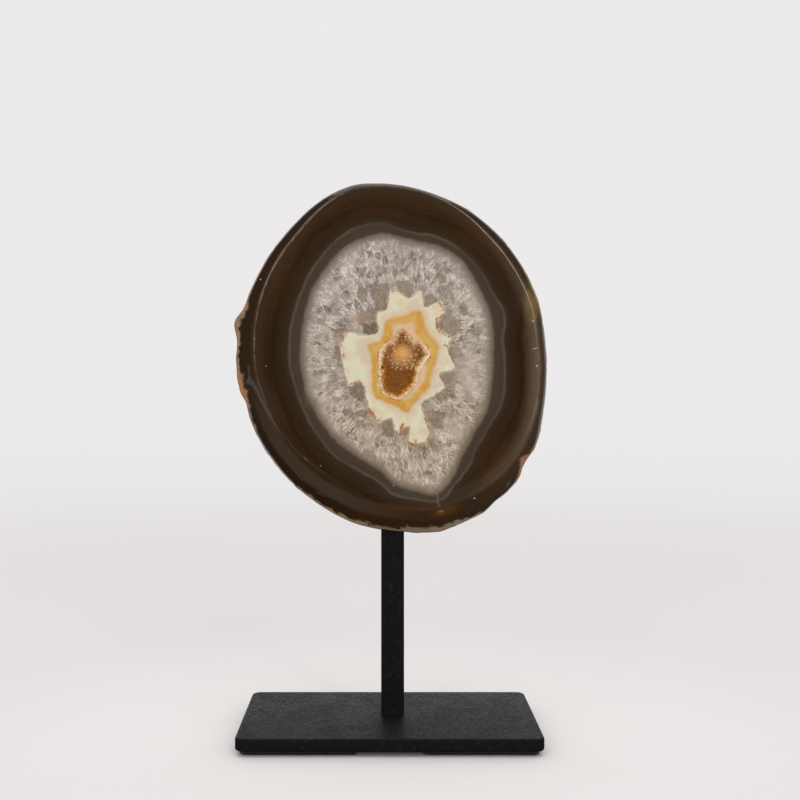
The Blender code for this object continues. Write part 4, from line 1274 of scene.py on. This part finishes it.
# How far from the lip that frost reaches, at the same angles.
LIP_FROST_REACH = [(0, 1.8), (30, 1.9), (60, 1.0), (95, 0.5), (120, 1.0), (145, 1.9), (172, 0.9),
                   (210, 0.5), (250, 0.7), (290, 0.9), (330, 1.0)]
FLOOR_DEPTH = 8.5
WALL_SLOPE = 1.7
# The rounded knob: its middle, reach, depth behind the face and smoother crown.
KNOB = (4.6, 2.0)
KNOB_RADIUS = 6.6
KNOB_ROUNDNESS = 1.3
KNOB_TOP = 2.6
KNOB_CROWN = 2.6
# Painted glints: bright grains ring the knob, this near and this far from its middle.
GLINT_RING = (3.0, 7.4)
GLINT_SHARE = 0.3
GLINT_STRENGTH = 0.85
# The smooth floor: its middle, reach and start behind the face, and how bare of crystals it is.
FLOOR_SPOT = (2.6, -9.5)
FLOOR_REACH = 4.6
FLOOR_START = 6.0
FLOOR_BARE = 0.85
# Painted shade of a small gap in the lining at the left: across, up, and half its width and height.
PAINTED_GAP_SHADE = (-3.7, -3.9, 0.7, 1.0)
CRYSTAL_STEP = 0.3
CRYSTAL_APART = 0.55
CRYSTAL_SIDES = 6
# Half widths, heights against that, how far they lean, and how far they stand off the mouth.
WALL_SIZES = (0.28, 0.50)
CRYSTAL_HEIGHTS = (0.8, 1.5)
CRYSTAL_LEAN = 0.25
CRYSTAL_MARGIN = 0.12
# Each prism starts below the lining, tapers from half its height, and its tip is off centre.
CRYSTAL_ROOT = -0.3
CRYSTAL_TAPER = (0.5, 0.92)
TIP_ASIDE = 0.15
# No crystal comes nearer to the plane of the polished face.
BEHIND_FACE = 0.03
# On the knob's crown crystals are this much lower and lean this much less.
CROWN_HEIGHT = 0.7
CROWN_LEAN = 0.6
# The lining's own tone, and how much the distance from the lip varies between crystals.
LINING_TONE = 0.25
WALL_SPREAD = 0.3
# How strong the frost is, and how it and the knob's paler colour with painted light on its crown
# fade outwards.
FROST_STRENGTH = 0.9
FROST_FADE = (1.6, 1.2)
KNOB_FADE = (2.3, 2.0)
DRUSE_SEED = 23


def crust_depth(flat, wall):
    """How far behind the face the lining lies at (across, up) points this far from the lip."""
    inwards = np.maximum(0.0, wall - LIP_WIDTH)
    depth = LIP_SINK + LIP_FALL * np.clip(wall / LIP_WIDTH, 0, 1)
    depth = depth + (FLOOR_DEPTH - depth) * (1 - np.exp(-inwards / WALL_SLOPE))
    off = np.clip(np.hypot(flat[:, 0] - KNOB[0], flat[:, 1] - KNOB[1]) / KNOB_RADIUS, 0, 1)
    rise = 0.5 + 0.5 * np.cos(np.pi * off ** KNOB_ROUNDNESS)
    return np.minimum(depth, FLOOR_DEPTH - (FLOOR_DEPTH - KNOB_TOP) * rise)


def crust_surface(flat, loop):
    """The lining's depth and its distance from the lip at (across, up) points."""
    wall = np.maximum(0.0, distance_inside(flat, loop))
    return crust_depth(flat, wall), wall


def crust_normals(flat, loop):
    """Directions in which crystals grow out of the lining, towards the open pocket."""
    step = 0.25
    slopes = []
    for side in ([step, 0.0], [0.0, step]):
        ahead = crust_surface(flat + np.array(side), loop)[0]
        before = crust_surface(flat - np.array(side), loop)[0]
        slopes.append((ahead - before) / (2 * step))
    normals = np.stack([slopes[0], -np.ones(len(flat)), slopes[1]], axis=1)
    return normals / np.linalg.norm(normals, axis=1)[:, None]


def crystal_places(loop, draw):
    """Places on the lining for crystals, picked at random and kept apart in space."""
    low = loop.min(axis=0)
    high = loop.max(axis=0)
    across, up = np.meshgrid(np.arange(low[0], high[0], CRYSTAL_STEP),
                             np.arange(low[1], high[1], CRYSTAL_STEP))
    flat = np.stack([across.ravel(), up.ravel()], axis=1)
    flat = flat + draw.uniform(-0.5, 0.5, flat.shape) * CRYSTAL_STEP
    depth, wall = crust_surface(flat, loop)
    inside = distance_inside(flat, loop) > CRYSTAL_MARGIN
    flat, depth, wall = flat[inside], depth[inside], wall[inside]
    order = draw.permutation(len(flat))
    kept = []
    seats = np.empty((0, 3))
    for index in order:
        seat = np.array([flat[index, 0], depth[index], flat[index, 1]])
        apart = CRYSTAL_APART * (LIP_CLOSER if wall[index] < LIP_ZONE else 1.0)
        if len(seats) and np.min(np.sum((seats - seat) ** 2, axis=1)) < apart ** 2:
            continue
        kept.append(index)
        seats = np.vstack([seats, seat])
    kept = np.array(kept)
    return flat[kept], depth[kept], wall[kept]


def druse_finish():
    material, tree, shader = new_finish("golden_druse", 0.14)
    place = millimetres(tree)
    tone = read(tree, "tone")
    cloud = grain(tree, place, 2.0, 2.0)
    # The golden colour darkens with depth behind the face: partly the crystals' own colour, partly
    # painted shade of the deep pocket.
    gold = ramp(tree, read(tree, "depth"), 0.0, 9.0,
                [(0.0, linear(240, 206, 156)), (1.5, linear(230, 180, 114)),
                 (4.0, linear(214, 148, 74)), (7.0, linear(164, 106, 32)),
                 (9.0, linear(140, 90, 14))])
    gold = wash(tree, gold, (196, 116, 60), read(tree, "up"), 3.0, 9.0, 0.0, 0.6)
    gold = wash(tree, gold, (146, 86, 32), tone, 0.0, 0.6, 0.5, 0.0)
    # The knob is paler, partly its own colour and partly painted light on its crown.
    knob = maths(tree, "MULTIPLY", read(tree, "knob"), 0.72)
    gold = tint(tree, knob, gold, linear(240, 190, 120))
    gold = wash(tree, gold, (246, 206, 148), tone, 0.75, 1.0, 0.0, 0.4)
    # Painted shade: a dark spot where a gap in the lining would fall into shade.
    across, up, half_width, half_height = PAINTED_GAP_SHADE
    gap = mark(tree, place, (across, 0, STONE_Z + up), (half_width, 1000, half_height), (0, 0, 0))
    gold = tint(tree, gap, gold, linear(24, 14, 8))
    # Pale frost at the lip, with painted glints on grains around the knob.
    frost_and_glints = maths(tree, "MULTIPLY", read(tree, "frost_and_glints"),
                  between(tree, cloud, 0.3, 0.55, 0.5, 1.0))
    gold = tint(tree, frost_and_glints, gold, linear(255, 230, 196))
    feed(tree, shader.inputs["Base Color"], gold)
    shine = between(tree, read(tree, "depth"), 6.5, 8.3, 0.12, 0.42)
    feed(tree, shader.inputs["Roughness"], shine)
    shader.inputs["Specular IOR Level"].default_value = 0.3
    shader.inputs["Subsurface Weight"].default_value = 0.12
    shader.inputs["Subsurface Radius"].default_value = (1.0, 0.5, 0.2)
    shader.inputs["Subsurface Scale"].default_value = 0.5 * MM
    feed(tree, shader.inputs["Normal"], bump(tree, grain(tree, place, 0.45, 2.0), 0.08))
    return material


def make_druse():
    draw = np.random.default_rng(DRUSE_SEED)
    loop = mouth_loop(CRUST_COLUMNS)
    centre = np.array(POCKET_CENTRE)
    bearing = 2 * np.pi * np.arange(CRUST_COLUMNS) / CRUST_COLUMNS
    outward = np.stack([np.cos(bearing), np.sin(bearing)], axis=1)
    reach = (mouth_radius(bearing) - CRUST_GAP)[:, None]

    flat = np.concatenate([centre + outward * reach * (1 - step / CRUST_RINGS)
                           for step in range(CRUST_RINGS)] + [centre[None, :]])
    depth, wall = crust_surface(flat, loop)
    depth[:CRUST_COLUMNS] = LIP_SINK
    points = [np.stack([flat[:, 0], depth, flat[:, 1]], axis=1)]
    faces = []
    k = np.arange(CRUST_COLUMNS)
    following = (k + 1) % CRUST_COLUMNS
    for ring in range(CRUST_RINGS - 1):
        far = ring * CRUST_COLUMNS
        near = far + CRUST_COLUMNS
        faces += np.stack([near + k, far + k, far + following, near + following], axis=1).tolist()
    middle = CRUST_RINGS * CRUST_COLUMNS
    last = middle - CRUST_COLUMNS
    faces += [(middle, int(last + a), int(last + b)) for a, b in zip(k, following)]
    walls, depths = [wall], [depth]
    tones, glints = [np.full(len(flat), LINING_TONE)], [np.zeros(len(flat))]

    seats, seat_depth, seat_wall = crystal_places(loop, draw)
    axes = crust_normals(seats, loop)
    start = len(flat)
    for seat, behind, from_lip, axis in zip(seats, seat_depth, seat_wall, axes):
        on_floor = math.hypot(seat[0] - FLOOR_SPOT[0], seat[1] - FLOOR_SPOT[1]) < FLOOR_REACH
        if on_floor and behind > FLOOR_START and draw.uniform() < FLOOR_BARE:
            continue
        size = draw.uniform(*(LIP_SIZES if from_lip < LIP_ZONE else WALL_SIZES))
        height = size * draw.uniform(*CRYSTAL_HEIGHTS)
        lean = draw.normal(scale=CRYSTAL_LEAN, size=3)
        off_knob = math.hypot(seat[0] - KNOB[0], seat[1] - KNOB[1])
        if off_knob < KNOB_CROWN:
            height *= CROWN_HEIGHT
            lean *= CROWN_LEAN
        upward = Vector(axis + lean).normalized()
        turn = upward.to_track_quat("Z", "Y").to_matrix() @ Matrix.Rotation(
            draw.uniform(0, 2 * math.pi), 3, "Z")
        foot = Vector((seat[0], behind, seat[1]))
        corners = []
        for level, share in ((CRYSTAL_ROOT * size, 1.0),
                             (CRYSTAL_TAPER[0] * height, CRYSTAL_TAPER[1])):
            for corner in range(CRYSTAL_SIDES):
                angle = 2 * math.pi * corner / CRYSTAL_SIDES
                spread = size * share
                corners.append(foot + turn @ Vector((spread * math.cos(angle),
                                                     spread * math.sin(angle), level)))
        corners.append(foot + turn @ Vector((TIP_ASIDE * size, 0.0, height)))
        crystal = np.array(corners)
        crystal[:, 1] = np.maximum(crystal[:, 1], BEHIND_FACE)
        points.append(crystal)
        tip = start + 2 * CRYSTAL_SIDES
        for corner in range(CRYSTAL_SIDES):
            ahead = (corner + 1) % CRYSTAL_SIDES
            faces.append((start + corner, start + ahead, start + CRYSTAL_SIDES + ahead,
                          start + CRYSTAL_SIDES + corner))
            faces.append((start + CRYSTAL_SIDES + corner, start + CRYSTAL_SIDES + ahead, tip))
        start = tip + 1
        walls.append(np.full(len(crystal), max(0.0, from_lip + draw.normal(scale=WALL_SPREAD))))
        depths.append(np.full(len(crystal), behind))
        tone = draw.uniform()
        tones.append(np.full(len(crystal), tone))
        glint = tone > 1 - GLINT_SHARE and GLINT_RING[0] < off_knob < GLINT_RING[1]
        glints.append(np.full(len(crystal), GLINT_STRENGTH if glint else 0.0))

    points = np.concatenate(points)
    from_knob = np.hypot(points[:, 0] - KNOB[0], points[:, 2] - KNOB[1]) / KNOB_RADIUS
    bearing = np.arctan2(points[:, 2] - centre[1], points[:, 0] - centre[0])
    fade = np.concatenate(walls) / around(LIP_FROST_REACH, bearing)
    frost_and_glints = FROST_STRENGTH * around(LIP_FROST, bearing) * np.clip(
        FROST_FADE[0] - FROST_FADE[1] * fade, 0, 1)
    # Painted glints join the pale frost of the lip.
    frost_and_glints = np.maximum(frost_and_glints, np.concatenate(glints))
    mesh = bpy.data.meshes.new("druse_crystals")
    mesh.from_pydata(((points + np.array([0, FACE_Y, STONE_Z])) * MM).tolist(), [], faces)
    store(mesh, "frost_and_glints", frost_and_glints)
    store(mesh, "up", points[:, 2])
    store(mesh, "depth", np.concatenate(depths))
    store(mesh, "tone", np.concatenate(tones))
    store(mesh, "knob", np.clip(KNOB_FADE[0] - KNOB_FADE[1] * from_knob, 0, 1))
    mesh.materials.append(druse_finish())
    mesh.update()
    druse = bpy.data.objects.new("druse_crystals", mesh)
    bpy.context.scene.collection.objects.link(druse)
    return druse


druse = make_druse()
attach(druse, "root")
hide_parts("crystal_crust")

# Room.
# A pale seamless floor that curves up into a wall all round. Black cards that only
# reflections see stand behind and beside the camera and lie before it, as in a dark studio.
FLOOR_RADIUS = 0.8
CURVE_RADIUS = 0.5
CURVE_STEPS = 16
WALL_HEIGHT = 2.2
SWEEP_SIDES = 96
WALL_GLOW = 0.60
# Painted shade darkens the paper a little near the stand; its colour darkens again from here to
# there, where it glows.
NEAR_STAND = (0.03, 0.22)
FAR_OUT = (0.30, 1.25)
CARD_SIDE = 0.75
CARD_FRONT = -0.86
CARD_TOP = 1.5
# How far back the cards reach on the left, on the right and on the floor.
LEFT_BACK = 0.25
RIGHT_BACK = 0.15
FLOOR_BACK = 0.12


def sweep_finish():
    material, tree, shader = new_finish("pale_paper", 0.9)
    place = add(tree, "ShaderNodeTexCoord").outputs["Object"]
    radius = vector_maths(tree, "LENGTH", vector_maths(tree, "MULTIPLY", place, (1.0, 1.0, 0.0)))
    # Painted shade near the stand.
    paper = tint(tree, between(tree, radius, *NEAR_STAND), (0.84, 0.82, 0.81, 1),
                 (0.76, 0.735, 0.735, 1))
    paper = tint(tree, between(tree, radius, *FAR_OUT), paper, (0.25, 0.245, 0.245, 1))
    feed(tree, shader.inputs["Base Color"], paper)
    shader.inputs["Specular IOR Level"].default_value = 0.0
    glow = between(tree, radius, *FAR_OUT, 0.0, WALL_GLOW)
    shader.inputs["Emission Color"].default_value = (1.0, 0.99, 0.992, 1)
    feed(tree, shader.inputs["Emission Strength"], glow)
    return material


def make_sweep():
    profile = [(0.3, 0.0), (FLOOR_RADIUS, 0.0)]
    for step in range(1, CURVE_STEPS + 1):
        turn = math.pi / 2 * step / CURVE_STEPS
        profile.append((FLOOR_RADIUS + CURVE_RADIUS * math.sin(turn),
                        CURVE_RADIUS * (1 - math.cos(turn))))
    profile.append((FLOOR_RADIUS + CURVE_RADIUS, WALL_HEIGHT))
    builder = bmesh.new()
    rings = []
    turns = [2 * math.pi * k / SWEEP_SIDES for k in range(SWEEP_SIDES)]
    for radius, height in profile:
        rings.append([builder.verts.new((radius * math.cos(turn), radius * math.sin(turn), height))
                      for turn in turns])
    builder.faces.new(rings[0])
    for inner, outer in zip(rings, rings[1:]):
        for k in range(SWEEP_SIDES):
            ahead = (k + 1) % SWEEP_SIDES
            builder.faces.new((inner[k], outer[k], outer[ahead], inner[ahead]))
    return piece_from("room_sweep", builder, sweep_finish())


def black_card(name, corners):
    """A card that only reflections see."""
    material, _, shader = new_finish(name + "_black", 1.0)
    shader.inputs["Base Color"].default_value = (0.002, 0.002, 0.002, 1)
    shader.inputs["Specular IOR Level"].default_value = 0.0
    builder = bmesh.new()
    builder.faces.new([builder.verts.new(corner) for corner in corners])
    card = piece_from(name, builder, material)
    card.visible_camera = False
    card.visible_diffuse = False
    card.visible_shadow = False


sweep = make_sweep()
black_card("card_behind_camera",
           [(-CARD_SIDE, CARD_FRONT, 0.0), (CARD_SIDE, CARD_FRONT, 0.0),
            (CARD_SIDE, CARD_FRONT, CARD_TOP), (-CARD_SIDE, CARD_FRONT, CARD_TOP)])
for side, across, back in (("left", -CARD_SIDE, LEFT_BACK), ("right", CARD_SIDE, RIGHT_BACK)):
    black_card("card_" + side, [(across, CARD_FRONT, 0.0), (across, back, 0.0),
                                (across, back, CARD_TOP), (across, CARD_FRONT, CARD_TOP)])
black_card("card_on_floor",
           [(-CARD_SIDE, CARD_FRONT, 2 * MM), (CARD_SIDE, CARD_FRONT, 2 * MM),
            (CARD_SIDE, FLOOR_BACK, 2 * MM), (-CARD_SIDE, FLOOR_BACK, 2 * MM)])

# Lights.
# A large soft box overhead and two tall strip lights to the left and right of the camera,
# which draw the thin bright lines on the polished shoulder, in an evenly pale room.
SOFT_BOX = 1.5
STRIP_WIDTH = 0.07
STRIP_HEIGHT = 0.95
STRIP_AIM = (0, 0, 0.15)
ROOM_LIGHT = 0.35


def soft_light(name, place, aim, width, height, watts):
    lamp = bpy.data.lights.new(name, "AREA")
    lamp.shape = "RECTANGLE"
    lamp.size = width
    lamp.size_y = height
    lamp.energy = watts
    light = bpy.data.objects.new(name, lamp)
    light.location = place
    light.rotation_euler = (Vector(aim) - Vector(place)).to_track_quat("-Z", "Y").to_euler()
    light.visible_camera = False
    bpy.context.scene.collection.objects.link(light)


soft_light("soft_box_overhead", (0, 0.05, 1.7), (0, 0, 0), SOFT_BOX, SOFT_BOX, 10.5)
soft_light("strip_left", (-0.37, -0.72, 0.62), STRIP_AIM, STRIP_WIDTH, STRIP_HEIGHT, 0.6)
soft_light("strip_right", (0.37, -0.72, 0.56), STRIP_AIM, STRIP_WIDTH, STRIP_HEIGHT, 1.0)

world = bpy.data.worlds.new("pale_room")
world.use_nodes = True
air = world.node_tree.nodes["Background"].inputs
air["Color"].default_value = (1.0, 1.0, 1.0, 1)
air["Strength"].default_value = ROOM_LIGHT
bpy.context.scene.world = world
bpy.context.scene.view_settings.view_transform = "Standard"

# Camera.
# A little below the stone's middle and 40 cm in front of its face, with a short telephoto
# lens that is shifted to frame the stand.
CAMERA_PLACE = (-4.8 * MM, -414.6 * MM, 143.5 * MM)
CAMERA_LENS = 45.0
CAMERA_FILM = 36.0
CAMERA_SHIFT = (0.0258, -0.019)

lens = bpy.data.cameras.new("camera")
lens.lens = CAMERA_LENS
lens.sensor_width = CAMERA_FILM
lens.shift_x, lens.shift_y = CAMERA_SHIFT
lens.clip_start = 0.01
camera = bpy.data.objects.new("camera", lens)
camera.location = CAMERA_PLACE
camera.rotation_euler = (math.radians(90), 0, 0)
bpy.context.scene.collection.objects.link(camera)
bpy.context.scene.camera = camera
